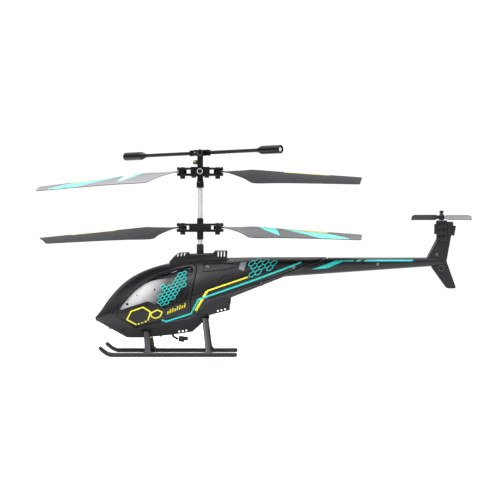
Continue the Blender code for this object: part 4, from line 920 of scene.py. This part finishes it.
def build_boom():
    stations = [10, 15, 20, 24] + [26 + k for k in range(12)] + [SHELL_END + 0.3, SHELL_END + 0.7]
    stations += [40 + 3 * k for k in range(17)] + [90.4, BOOM_END]
    rings = [boom_section(x) for x in stations]
    first, middle = boom_section(BOOM_END), 48.1
    for x, scale in ((93.0, 0.985), (95.0, 0.94), (96.6, 0.83), (97.7, 0.65), (98.4, 0.42), (98.7, 0.2)):
        rings.append([(x, p[1] * scale, middle + (p[2] - middle) * scale) for p in first])
    bm = bmesh.new()
    add_rings(bm, rings)
    tube = show("boom_tube", bm, "airframe", "boom", "tail_boom", "black_boom", angle=50)
    screw = node_centre("boom_screw")
    carve(tube, [rod_mesh(1.05, -9, -2.4, at(screw.x, 0, screw.z, "Y"))])
    soften(tube, 0.1, 50)
    for side, word in SIDES:

        def place(x, z, side=side):
            ring = [p for p in boom_section(x) if p[1] * side >= 0]
            ring.sort(key=lambda p: p[2])
            heights = [(p[2], abs(p[1])) for p in ring]
            return Vector((x, side * (linear(heights, z) + DECAL_LIFT), z))

        bm = bmesh.new()
        patch(bm, [(29.4, 44.2), (41.7, 48.9), (45.6, 48.4), (37.4, 44.9)], place, 1.0)
        ribbon(bm, [(41.7, 48.7), (51.3, 48.7)], 0.55, place)
        patch(bm, [(51.6, 48.4), (53.1, 49.1), (55.6, 49.1), (54.2, 48.4)], place, 1.0)
        patch(bm, [(56.2, 48.35), (57.3, 49.15), (82.4, 49.25), (81.4, 48.45)], place, 1.0)
        face_out(bm, Vector((0, side, 0.2)))
        show("boom_stripe_" + word, bm, "airframe", "turquoise", wall=INK)


FIN = [(88.9, 49.9), (94.4, 60.3), (94.1, 69.4), (103.2, 68.9), (101.9, 61.6), (99.5, 48.4), (104.3, 35.1),
       (103.9, 34.3), (100.2, 34.3), (99.1, 34.9), (91.6, 45.4), (91.6, 49.9)]
FIN_HALF = 1.2
HOUSING_R = 2.65


def build_tail():
    bm = bmesh.new()
    outline = round_corners(FIN, 0.8, 3)
    add_rings(bm, [[(x, y, z) for x, z in outline] for y in (-FIN_HALF, FIN_HALF)])
    add_turned(bm, [(2.1, 60.2), (2.1, 69.6), (HOUSING_R, 69.6), (HOUSING_R, 59.2), (0, 59.2), (0, 60.2)],
               32, at(TAIL_X, 0, 0))
    add_box(bm, (93.3, -1.9, 62.5), (95.0, 1.9, 67.8))
    tilt = leaning((103.0, 0, 64.4), 10)
    add_box(bm, (-0.9, -1.9, -2.6), (0.9, 1.9, 2.6), tilt)
    add_box(bm, (-0.5, -2.1, -1.4), (0.5, 2.1, 1.4), tilt)
    # Ribs along the fin's front edge and a small boss, in a pale grey that is painted highlight on the black
    # fin.
    ribs = bmesh.new()
    for k in range(16):
        spot = Vector(FIN[0]).lerp(Vector(FIN[1]), (k + 0.9) / 17)
        add_box(ribs, (-0.5, -FIN_HALF - 0.1, -0.2), (0.5, FIN_HALF + 0.1, 0.2),
                leaning((spot.x + 0.45, 0, spot.y), -28))
    add_turned(ribs, [(0.3, -1.32), (0.5, -1.38), (0.7, -1.32), (0.7, -1.0), (0.3, -1.0)], 24,
               at(94.5, 0, 52.0, "Y"))
    show("fin_ribs", ribs, "airframe", "rib", slot="black_boom", bevel=0.06)
    screw = node_centre("fin_screw")
    # A thin pale ring round the fin's screw boss: a painted highlight.
    turned("fin_boss_highlight_ring", [(1.32, -2.05), (1.5, -2.05), (1.5, -1.9), (1.32, -1.9)], "airframe", "rib",
           at(screw.x, 0, screw.z, "Y"), 32, slot="black_boom")
    add_turned(bm, [(1.45, -1.95), (1.7, -1.95), (1.9, -1.75), (1.9, -1.0), (1.45, -1.0)], 32,
               at(screw.x, 0, screw.z, "Y"))
    show("fin", bm, "airframe", "boom", "tail_fin", "black_boom", angle=40, bevel=0.14)

    cover = bmesh.new()
    low, high = 59.1, 69.7
    rings = []
    for z, grow in ((low, -0.25), (low + 0.25, 0.0), (high - 0.25, 0.0), (high, -0.25)):
        turns = [math.pi + math.pi * k / 16 for k in range(17)]
        rings.append([(TAIL_X + (2.85 + grow) * math.cos(a),
                       -FIN_HALF - 0.1 + (2.2 + grow) * math.sin(a), z) for a in turns])
    add_rings(cover, rings)
    piece = show("motor_cover", cover, "airframe", "boom", "tail_motor_cover", "black_boom", angle=40)
    cutters = []
    for k in range(3):
        z = 60.6 + 3.25 * k
        arc = [(TAIL_X + 1.55 * math.cos(a), z + 1.25 * math.sin(a)) for a in
               (math.radians(15 + 15 * j) for j in range(11))]
        cutters.append(prism(wall_slot(arc, 0.75), -8, -FIN_HALF - 0.9))
        cutters.append(box_mesh((TAIL_X - 0.2, -8, z - 0.3), (TAIL_X + 0.2, -FIN_HALF - 2.0, z + 1.0)))
    carve(piece, cutters)
    soften(piece, 0.12, 40)


TAIL_PITCH = math.radians(-28)
TAIL_ROOT = 1.0
TAIL_TIP = 15.5
TAIL_BLADE_Z = 71.2


def build_tail_rotor():
    bm = bmesh.new()
    hub = [(0.6, 69.9), (1.35, 69.9), (1.6, 70.15), (1.6, 71.7), (1.3, 72.4), (1.1, 72.9), (0.6, 72.9)]
    add_turned(bm, hub, 32, at(TAIL_X, 0, 0))
    bmesh.ops.recalc_face_normals(bm, faces=bm.faces)
    for turn in (0, math.pi):
        rings = []
        for k in range(25):
            r = TAIL_ROOT + (TAIL_TIP - TAIL_ROOT) * k / 24
            root = min(1.0, (r - TAIL_ROOT) / 2.2)
            tip = max(0.0, (r - 14.2) / 1.3)
            half = 1.1 + 1.7 * root - 0.9 * tip**2
            lean = -0.9 * tip
            ring = []
            for j in range(20):
                angle = 2 * math.pi * j / 20
                along = half * math.copysign(abs(math.cos(angle)) ** 0.85, math.cos(angle)) - lean
                thick = 0.26 * math.copysign(abs(math.sin(angle)) ** 0.8, math.sin(angle))
                thick += 0.28 * (1 - (along / 2.9) ** 2)
                y = along * math.cos(TAIL_PITCH) - thick * math.sin(TAIL_PITCH)
                z = along * math.sin(TAIL_PITCH) + thick * math.cos(TAIL_PITCH)
                point = Matrix.Rotation(turn, 3, "Z") @ Vector((r, -y, z + TAIL_BLADE_Z))
                ring.append(point + Vector((TAIL_X, 0, 0)))
            rings.append(ring)
        add_rings(bm, rings, 1)
    bmesh.ops.recalc_face_normals(bm, faces=bm.faces)
    bm.normal_update()
    for face in bm.faces:
        if face.material_index:
            face.material_index = 1 if face.normal.z > 0.55 else 2
    show("tail_propeller", bm, "tail_rotor", "nylon tail_light blade_under", "tail_rotor", "black_nylon",
         angle=45)
    ball = [(1.15 * math.cos(a), 74.0 + 0.95 * math.sin(a)) for a in
            (math.radians(-65 + 155 * k / 10) for k in range(10))]
    shaft = [(0, 61.2), (0.4, 61.2), (0.4, 72.7), (0.75, 72.95), (0.6, 73.1), *ball, (0, 74.97)]
    turned("propeller_shaft", shaft, "tail_rotor", "nylon", at(TAIL_X, 0, 0), 24,
           stands_for="tail_shaft", slot="black_nylon")


COVER_LINE = [(-44.6, 48.2), (-41.4, 51.6), (-39.6, 53.0), (-34.4, 53.3), (-34.0, 52.4), (-21.4, 52.9),
              (-21.0, 54.1), (-14.6, 54.1), (-14.2, 53.7)]
COVER_FLANK = [(3.9, 1.1), (3.84, 0.75), (3.7, 0.45), (3.45, 0.22), (3.0, 0.06), (2.4, 0.0)]


def crown(x, y):
    """The height of the roof's surface at a distance from the middle."""
    low, high = smooth(BELT, x), smooth(ROOF, x)
    for _ in range(24):
        middle = (low + high) / 2
        low, high = (middle, high) if half_width(x, middle) > y else (low, middle)
    return low


def build_mast_cover():
    """The cover round the mast: rounded flanks that sink into the roof, and slots through both ends."""
    top = round_corners(COVER_LINE, 0.6, 3)
    top = [top[0]] + resample(top[:-1], 1.0)[1:-1] + [top[-1]]
    rows = []
    for y, drop in COVER_FLANK:
        ring = []
        for x, z in top:
            base = crown(x, y) - 0.25
            ring.append((x, -y, max(base + 0.3, z - drop * min(1.0, max(0.0, z - base) / 2.5))))
        ring += [(x, -y, crown(x, y) - 0.25) for x, _ in top[::-1]]
        rows.append(ring)
    rows += [[(x, -y, z) for x, y, z in ring] for ring in rows[::-1]]
    bm = bmesh.new()
    add_rings(bm, rows)
    cover = show("vented_cover", bm, "airframe", "shell", "mast_cover", "matte_black_shell", angle=30)
    cutters = [rod_mesh(2.05, 40, 60, at(MAST_X, 0, 0))]
    for k in range(3):
        cutters.append(box_mesh((-19.45 + 1.6 * k, -9, 50.9), (-18.75 + 1.6 * k, 9, 53.5)))
        lean = leaning((-40.0 + 1.75 * k, 0, 51.7 + 0.25 * k), 18)
        cutters.append(box_mesh((-0.38, -9, -0.9), (0.38, 9, 0.8), lean))
    carve(cover, cutters)
    soften(cover, 0.14, 30)


# ---------------------------------------------------------------- rotor blades
BLADE_LEAD = [(1.2, 1.7), (4.4, 1.8), (7.5, 3.0), (14.2, 5.2), (18.0, 6.4), (20.6, 6.5), (32.0, 6.4),
              (50.0, 6.1), (66.0, 5.8), (74.9, 5.4)]
BLADE_TRAIL = [(1.2, -1.7), (4.4, -1.9), (7.5, -4.6), (14.2, -11.4), (18.0, -16.8), (20.6, -17.2),
               (32.0, -16.2), (50.0, -14.8), (66.0, -13.4), (74.9, -12.6)]
BLADE_PITCH = [(1.2, 0), (4.4, 5), (7.5, 9), (14.2, 13), (18.0, 14.5), (32.0, 12.6), (50.0, 10.8),
               (74.9, 9)]
BLADE_THICK = [(1.2, 1.5), (4.4, 1.1), (7.5, 0.9), (18.5, 0.85), (50.0, 0.75), (74.9, 0.6)]
BLADE_END = 74.85
TIP_ROUND = 1.7
SCREW_R = 9.1
CHORD_SCALE = 20.0  # a chord's 0 to 1 is about 20 mm long
SWEEP = [(33.0, 0.067), (38.0, 0.1), (44.0, 0.313), (50.2, 0.418), (56.4, 0.46), (62.8, 0.662), (69.2,
         0.969), (55.0, 0.975), (51.0, 0.874), (47.2, 0.696), (44.0, 0.594), (41.0, 0.491), (35.5,
         0.246)]
EDGE_STREAK = [(34.3, 0.04), (56.0, 0.04), (57.6, 0.246), (57.6, 0.396), (50.2, 0.396), (44.0, 0.287)]
TICK = [(20.8, 0.04), (30.1, 0.04), (33.2, 0.853), (28.9, 0.646), (24.6, 0.407)]
TICK_GLINT = [(24.5, 0.067), (29.4, 0.1), (32.6, 0.789), (28.6, 0.557), (26.0, 0.373)]


class Blade:
    """A twisted, drooping blade. Its points are named by the distance s and the chord share c."""

    def __init__(self, z, turn, flip, droop, hand):
        self.place = (Matrix.Translation((MAST_X, 0, 0)) @ Matrix.Rotation(turn, 4, "Z")
                      @ Matrix.Translation((-SCREW_R if flip else SCREW_R, 0, z))
                      @ Matrix.Rotation(math.pi if flip else 0.0, 4, "Z"))
        self.slope = math.tan(math.radians(droop))
        self.hand = hand

    def point(self, s, c, lift):
        """lift is 1 on the top face, -1 on the underside, and may pass 1 for a decal."""
        tip = min(1.0, max(0.0, (s - BLADE_END + TIP_ROUND) / TIP_ROUND))
        draw_in = TIP_ROUND * (1 - math.sqrt(max(0.0, 1 - tip * tip)))
        lead, trail = smooth(BLADE_LEAD, s) - draw_in, smooth(BLADE_TRAIL, s) + draw_in
        y = lead + (trail - lead) * c
        bulge = max(0.0, 4 * c * (1 - c))
        thick = smooth(BLADE_THICK, s)
        z = 0.022 * (lead - trail) * bulge
        if lift > 0:
            z += 0.12 + 0.4 * thick * bulge**0.7 * (1 - 0.25 * c) + (lift - 1)
        else:
            z -= 0.12 + 0.2 * thick * bulge**0.7 - 0.012 * (lead - trail) * bulge
        turn = math.radians(smooth(BLADE_PITCH, s))
        up = y * math.sin(turn) + z * math.cos(turn) - self.slope * max(0.0, s - 1.2)
        return self.place @ Vector((s, self.hand * (y * math.cos(turn) - z * math.sin(turn)), up))


def build_blade(name, top_look, blade, streaks):
    stations = [1.2 + (BLADE_END - 3.0 - 1.2) * k / 60 for k in range(61)]
    stations += [BLADE_END - TIP_ROUND * math.cos(math.pi / 2 * k / 8) for k in range(9)]
    shares = [(1 - math.cos(math.pi * k / 14)) / 2 for k in range(15)]
    bm = bmesh.new()
    rings = []
    for s in stations:
        top = [blade.point(s, c, 1) for c in shares]
        under = [blade.point(s, c, -1) for c in shares[::-1]]
        rings.append(top + under)
    faces = add_rings(bm, rings)
    bmesh.ops.recalc_face_normals(bm, faces=bm.faces)
    bm.normal_update()
    around = 2 * len(shares)
    for i, face in enumerate(faces):
        top = face.normal.z > 0.5 and i % around != len(shares) - 2
        face.material_index = 0 if top else 1
        if i % around == around - 1 and 34 < stations[i // around % len(stations)] < 57:
            face.material_index = 3
    eye = [(0.75, -0.92), (1.95, -0.92), (2.1, -0.77), (2.1, 0.77), (1.95, 0.92), (0.75, 0.92)]
    start = len(bm.faces)
    add_turned(bm, eye, 32, blade.place)
    bm.faces.ensure_lookup_table()
    for face in bm.faces[start:]:
        face.material_index = 2
    show(name + "_foil", bm, name, f"{top_look} blade_under nylon pale_yellow", name, "grey_blade", angle=42)
    for i, (look, outline) in enumerate(streaks):

        def place(s, v, lift=1.04 + 0.02 * i):
            return blade.point(s, v / CHORD_SCALE, lift)

        flat = [(s, CHORD_SCALE * c) for s, c in resample(outline, 1.5)]
        bm = face_out(sheet([flat], 1.5, place), Vector((0, 0, 1)))
        show(f"{name}_{look}_{i}", bm, name, look, wall=INK)


def build_blades():
    print_run = [("pale_turquoise", SWEEP), ("pale_yellow", EDGE_STREAK), ("pale_turquoise", TICK)]
    # The upper blades also carry a white glint over the tick: a painted highlight.
    glint = print_run + [("pale_white", TICK_GLINT)]
    for name, top_look, streaks, blade in (
        # The lower blades wear the darker copy of the silver: painted shade.
        ("lower_blade_right", "blade_painted_shade", print_run, Blade(LOWER_Z, LOWER_TURN, False, 3.6, 1)),
        ("lower_blade_left", "blade_painted_shade", print_run, Blade(LOWER_Z, LOWER_TURN, True, 4.9, 1)),
        ("upper_blade_right", "blade_top", glint, Blade(UPPER_Z, 0, False, 3.2, -1)),
        ("upper_blade_left", "blade_top", glint, Blade(UPPER_Z, 0, True, 6.6, -1)),
    ):
        build_blade(name, top_look, blade, streaks)


# ---------------------------------------------------------------- mast, hubs and flybar
def fluted(name, profile, body, sides=14):
    """A moulded collar with narrow flats down its sides."""
    turned(name, profile, body, "nylon", at(MAST_X, 0, 0), sides, slot="black_nylon", angle=12, bevel=0.08)


FORK_END = 11.85


def build_fork(hub, body, z, turn):
    """Lips at a fork's ends, with a ridge on top of each, and flat screws through both blade roots."""
    middle = Matrix.Translation((MAST_X, 0, z)) @ Matrix.Rotation(turn, 4, "Z")
    bm = bmesh.new()
    for side in (-1, 1):
        near, far = sorted((side * 10.9, side * FORK_END))
        for low, high, half in ((-1.1, -0.7, 2.6), (0.7, 1.1, 2.6), (2.0, 2.4, 2.3)):
            add_box(bm, (near, -half, low), (far, half, high), middle)
    show(hub + "_lips", bm, body, "nylon", slot="black_nylon", bevel=0.1)
    screw = [(0, -3.5), (0.6, -3.5), (0.6, 2.1), (1.2, 2.1), (1.25, 2.2), (1.1, 2.42), (0.6, 2.45),
             (0.5, 2.25), (0, 2.25)]
    for side, word in SIDES:
        turned(f"{hub}_screw_{word}", screw, body, "black_screw",
               middle @ Matrix.Translation((side * SCREW_R, 0, 0)), 24,
               stands_for=f"{hub}_blade_screw_{word}", slot="black_screw")


def build_mast():
    mast = at(MAST_X, 0, 0)
    build_fork("lower", "lower_rotor", LOWER_Z, LOWER_TURN)
    build_fork("upper", "blade_holder", UPPER_Z, 0.0)
    tube = [(1.4, 36.6), (1.74, 36.6), (1.74, 52.6), (1.86, 52.9), (1.86, 57.0), (1.7, 57.3), (1.4, 57.3)]
    turned("mast_collar", tube, "airframe", "shell", mast, 14, stands_for="mast_tube",
           slot="matte_black_shell", angle=12, bevel=0.08)
    turned("outer_tube", [(0.95, 30.2), (1.2, 30.2), (1.2, 66.2), (0.95, 66.2)], "lower_rotor", "shaft",
           mast, stands_for="outer_shaft", slot="pale_shaft")
    sleeve = [(0.95, 71.1), (1.2, 71.1), (1.25, 71.2), (1.25, 86.2), (1.2, 86.3), (0.95, 86.3)]
    turned("sleeve", sleeve, "upper_rotor", "shaft", mast, stands_for="shaft_sleeve", slot="pale_shaft")
    fluted("hub_collar_low", [(1.3, 59.7), (1.6, 59.7), (1.7, 59.9), (1.7, 63.4), (1.3, 63.4)],
           "lower_rotor")
    fluted("hub_collar_high", [(1.3, 68.2), (1.7, 68.2), (1.7, 70.5), (1.6, 70.8), (1.3, 70.8)],
           "lower_rotor")
    boss = [(0.65, -2.2), (1.0, -2.2), (1.15, -2.0), (1.15, -1.3), (0.65, -1.3)]
    turned("post_boss", boss, "upper_rotor", "nylon",
           at(MAST_X, node_centre("post_screw").y, node_centre("post_screw").z, "X"), 24,
           slot="black_nylon")
    head = [(1.4, 86.6), (1.95, 86.6), (1.95, 89.2), (1.72, 89.9), (1.6, 91.4), (1.4, 91.4)]
    fluted("head_collar", head, "upper_rotor")


def build_links():
    """Two pushrods, each a ridged bar between two eyes."""
    for side, word in SIDES:
        middle = node_centre("link_" + word)
        bm = bmesh.new()
        back, face = middle.y - side * 0.65, middle.y + side * 0.65
        inner, outer = min(back, face), max(back, face)
        place = at(MAST_X, 0, 0)
        add_box(bm, (-1.35, inner, UPPER_Z + 0.9), (1.35, outer, FLYBAR_Z - 0.9), place)
        for x in (-0.9, 0.9):
            add_box(bm, (x - 0.27, inner - 0.16, UPPER_Z + 1.2), (x + 0.27, outer + 0.16, FLYBAR_Z - 1.2),
                    place)
        for z in (UPPER_Z, FLYBAR_Z):
            eye = [(0.85, inner + 0.02), (1.55, inner + 0.02), (1.7, inner + 0.15),
                   (1.7, outer - 0.15), (1.55, outer - 0.02), (0.85, outer - 0.02)]
            add_turned(bm, eye, 32, at(MAST_X, 0, z, "Y"))
        show("pushrod_" + word, bm, "link_" + word, "nylon", "link_" + word, "black_nylon", 40, 0.1)
        # Thin rings on the eyes' faces: painted highlights, bright on the lower eyes and dim on the upper.
        for z, look, r in ((UPPER_Z, "painted_highlight_ring", 1.12), (FLYBAR_Z, "painted_dim_highlight_ring", 1.18)):
            low, high = sorted((face, face + side * 0.22))
            ring = [(r, low), (r + 0.42, low), (r + 0.42, high - 0.06), (r + 0.36, high), (r, high)]
            turned(f"eye_highlight_ring_{word}_{z:.0f}", ring, "link_" + word, look, at(MAST_X, 0, z, "Y"), 32,
                   slot="black_nylon")


FLYBAR_HALF = 53.8


def build_flybar():
    half = FLYBAR_HALF
    place = Matrix.Translation((MAST_X, 0, FLYBAR_Z)) @ Matrix.Rotation(FLYBAR_TURN, 4, "Z")
    lay = Matrix.Rotation(math.pi / 2, 4, "Y")
    side = [(0.95, half - 16.0), (1.05, half - 15.2), (1.55, half - 13.4), (1.98, half - 12.4),
            (2.07, half - 11.8), (2.07, half - 0.9), (2.14, half - 0.8), (2.14, half - 0.2),
            (2.0, half)]
    bore = [(1.5, half), (1.5, half - 9.8)]
    outer = side + bore
    profile = [(0, -bore[-1][1])] + [(r, -h) for r, h in outer[::-1]] + outer + [(0, bore[-1][1])]
    bm = bmesh.new()
    add_turned(bm, profile, 32, place @ lay)
    bar = show("flybar_rod", bm, "flybar", "nylon", slot="black_nylon", angle=45)
    gap = bmesh.new()
    add_turned(gap, rod(2.4, -4, 4), 32, place)
    carve(bar, [gap])
    for word in ("front", "rear"):
        centre = node_centre("flybar_weight_" + word) - Vector((MAST_X, 0, FLYBAR_Z))
        sign = 1 if centre.x > 0 else -1
        end = sign * (half - 0.25)
        plug = [(0, end), (1.05, end), (1.28, end - sign * 0.2), (1.28, end - sign * 9.2),
                (0, end - sign * 9.2)]
        turned("weight_" + word, plug, "flybar", "chrome", place @ lay, 32,
               stands_for="flybar_weight_" + word, slot="polished_weight", angle=30)


KEPT = {
    "cockpit_insert": ("liner", 0.0), "nose_led": ("led", 0.0),
    "shell_screw_front": ("dull_steel", 0.06), "shell_screw_rear": ("dull_steel", 0.06),
    "boom_screw": ("dull_steel", 0.06), "fin_screw": ("black_screw", 0.08), "tail_motor": ("can", 0.08),
    "motor_front": ("can", 0.15), "motor_rear": ("can", 0.15), "inner_shaft": ("steel", 0.0),
    "holder_pivot_pin": ("steel", 0.05), "lower_bearing": ("brass", 0.06),
    "upper_bearing": ("brass", 0.06), "pinion_front": ("brass", 0.0), "pinion_rear": ("brass", 0.0),
    "post_screw": ("brass", 0.08), "flybar_pivot_pin": ("brass", 0.08), "lower_hub": ("nylon", 0.12),
    "blade_holder": ("nylon", 0.12), "rotor_head_post": ("nylon", 0.1), "flybar": ("nylon", 0.1),
    "inner_shaft_gear": ("gear", 0.0),
    "outer_shaft_gear": ("gear", 0.0), "gear_frame": ("frame", 0.12), "battery": ("pouch", 0.3),
    "circuit_board": ("board", 0.08), "switch_body": ("switch", 0.12), "switch_slider": ("knob", 0.1),
    "charge_lead": ("lead", 0.0), "charge_plug": ("switch", 0.12),
}


def finish_kept_nodes():
    """Gives each CAD node that stays a finish, and soft edges where its bevel isn't zero."""
    for name, (look, bevel) in KEPT.items():
        node = frame["nodes"][name]
        node.data.materials.clear()
        node.data.materials.append(LOOKS[look])
        weld = node.modifiers.new("Weld", "WELD")
        weld.merge_threshold = 1e-6
        if bevel:
            soften(node, bevel, 40)


# ---------------------------------------------------------------- stage
CAMERA_AWAY = 884.0
CAMERA_HEIGHT = 54.3
CAMERA_X = -2.6
CAMERA_LENS = 122.4
FLOOR_SIZE = 3.0


def area_light(name, where, target, size, power, colour=(1, 1, 1)):
    lamp = bpy.data.lights.new(name, "AREA")
    lamp.shape = "RECTANGLE"
    lamp.size, lamp.size_y = size
    lamp.energy = power
    lamp.color = colour
    obj = bpy.data.objects.new(name, lamp)
    obj.location = where
    obj.rotation_euler = (Vector(target) - Vector(where)).to_track_quat("-Z", "Y").to_euler()
    bpy.context.scene.collection.objects.link(obj)


KEY_POWER = 4.2
OVERHEAD_POWER = 6.0
HORIZON_GLOW, ZENITH_GLOW, BACKDROP_GLOW = 0.11, 1.6, 1.05


def studio_world():
    """A white room: plain behind the object, and softly brighter overhead than at the horizon."""
    world = bpy.data.worlds.new("studio")
    world.use_nodes = True
    nodes, links = world.node_tree.nodes, world.node_tree.links
    where = nodes.new("ShaderNodeTexCoord")
    split = nodes.new("ShaderNodeSeparateXYZ")
    links.new(where.outputs["Generated"], split.inputs[0])
    glow = nodes.new("ShaderNodeMapRange")
    glow.interpolation_type = "SMOOTHSTEP"
    glow.inputs["To Min"].default_value = HORIZON_GLOW
    glow.inputs["To Max"].default_value = ZENITH_GLOW
    links.new(split.outputs["Z"], glow.inputs["Value"])
    seen = nodes.new("ShaderNodeLightPath")
    pick = nodes.new("ShaderNodeMix")
    links.new(seen.outputs["Is Camera Ray"], pick.inputs["Factor"])
    links.new(glow.outputs["Result"], pick.inputs["A"])
    pick.inputs["B"].default_value = BACKDROP_GLOW
    sky = nodes["Background"]
    sky.inputs["Color"].default_value = (1, 1, 1, 1)
    links.new(pick.outputs["Result"], sky.inputs["Strength"])
    return world


def build_stage():
    camera = bpy.data.cameras.new("camera")
    camera.lens = CAMERA_LENS
    camera.clip_start = 0.01
    camera.clip_end = 20
    holder = bpy.data.objects.new("camera", camera)
    holder.location = (CAMERA_X * MM, -CAMERA_AWAY * MM, CAMERA_HEIGHT * MM)
    holder.rotation_euler = (math.pi / 2, 0, 0)
    bpy.context.scene.collection.objects.link(holder)
    bpy.context.scene.camera = holder

    bm = bmesh.new()
    bmesh.ops.create_grid(bm, x_segments=8, y_segments=8, size=FLOOR_SIZE)
    mesh = bpy.data.meshes.new("floor")
    bm.to_mesh(mesh)
    bm.free()
    floor = bpy.data.objects.new("floor", mesh)
    pale = surface("floor_white", (0.97, 0.97, 0.97), 0.75, mottle=0.01, grain=4, bump=0.02)
    mesh.materials.append(pale)
    bpy.context.scene.collection.objects.link(floor)

    bpy.context.scene.world = studio_world()
    area_light("key", (-0.3, -0.55, 0.75), (0, 0, 0.05), (0.45, 0.45), KEY_POWER)
    area_light("overhead", (0.05, 0.15, 0.85), (0, 0, 0.05), (0.9, 0.5), OVERHEAD_POWER)
    bpy.context.scene.view_settings.view_transform = "Standard"


build_shells()
build_decals()
build_belly()
build_skids()
build_boom()
build_tail()
build_tail_rotor()
build_mast_cover()
build_blades()
build_mast()
build_links()
build_flybar()
finish_kept_nodes()
build_stage()
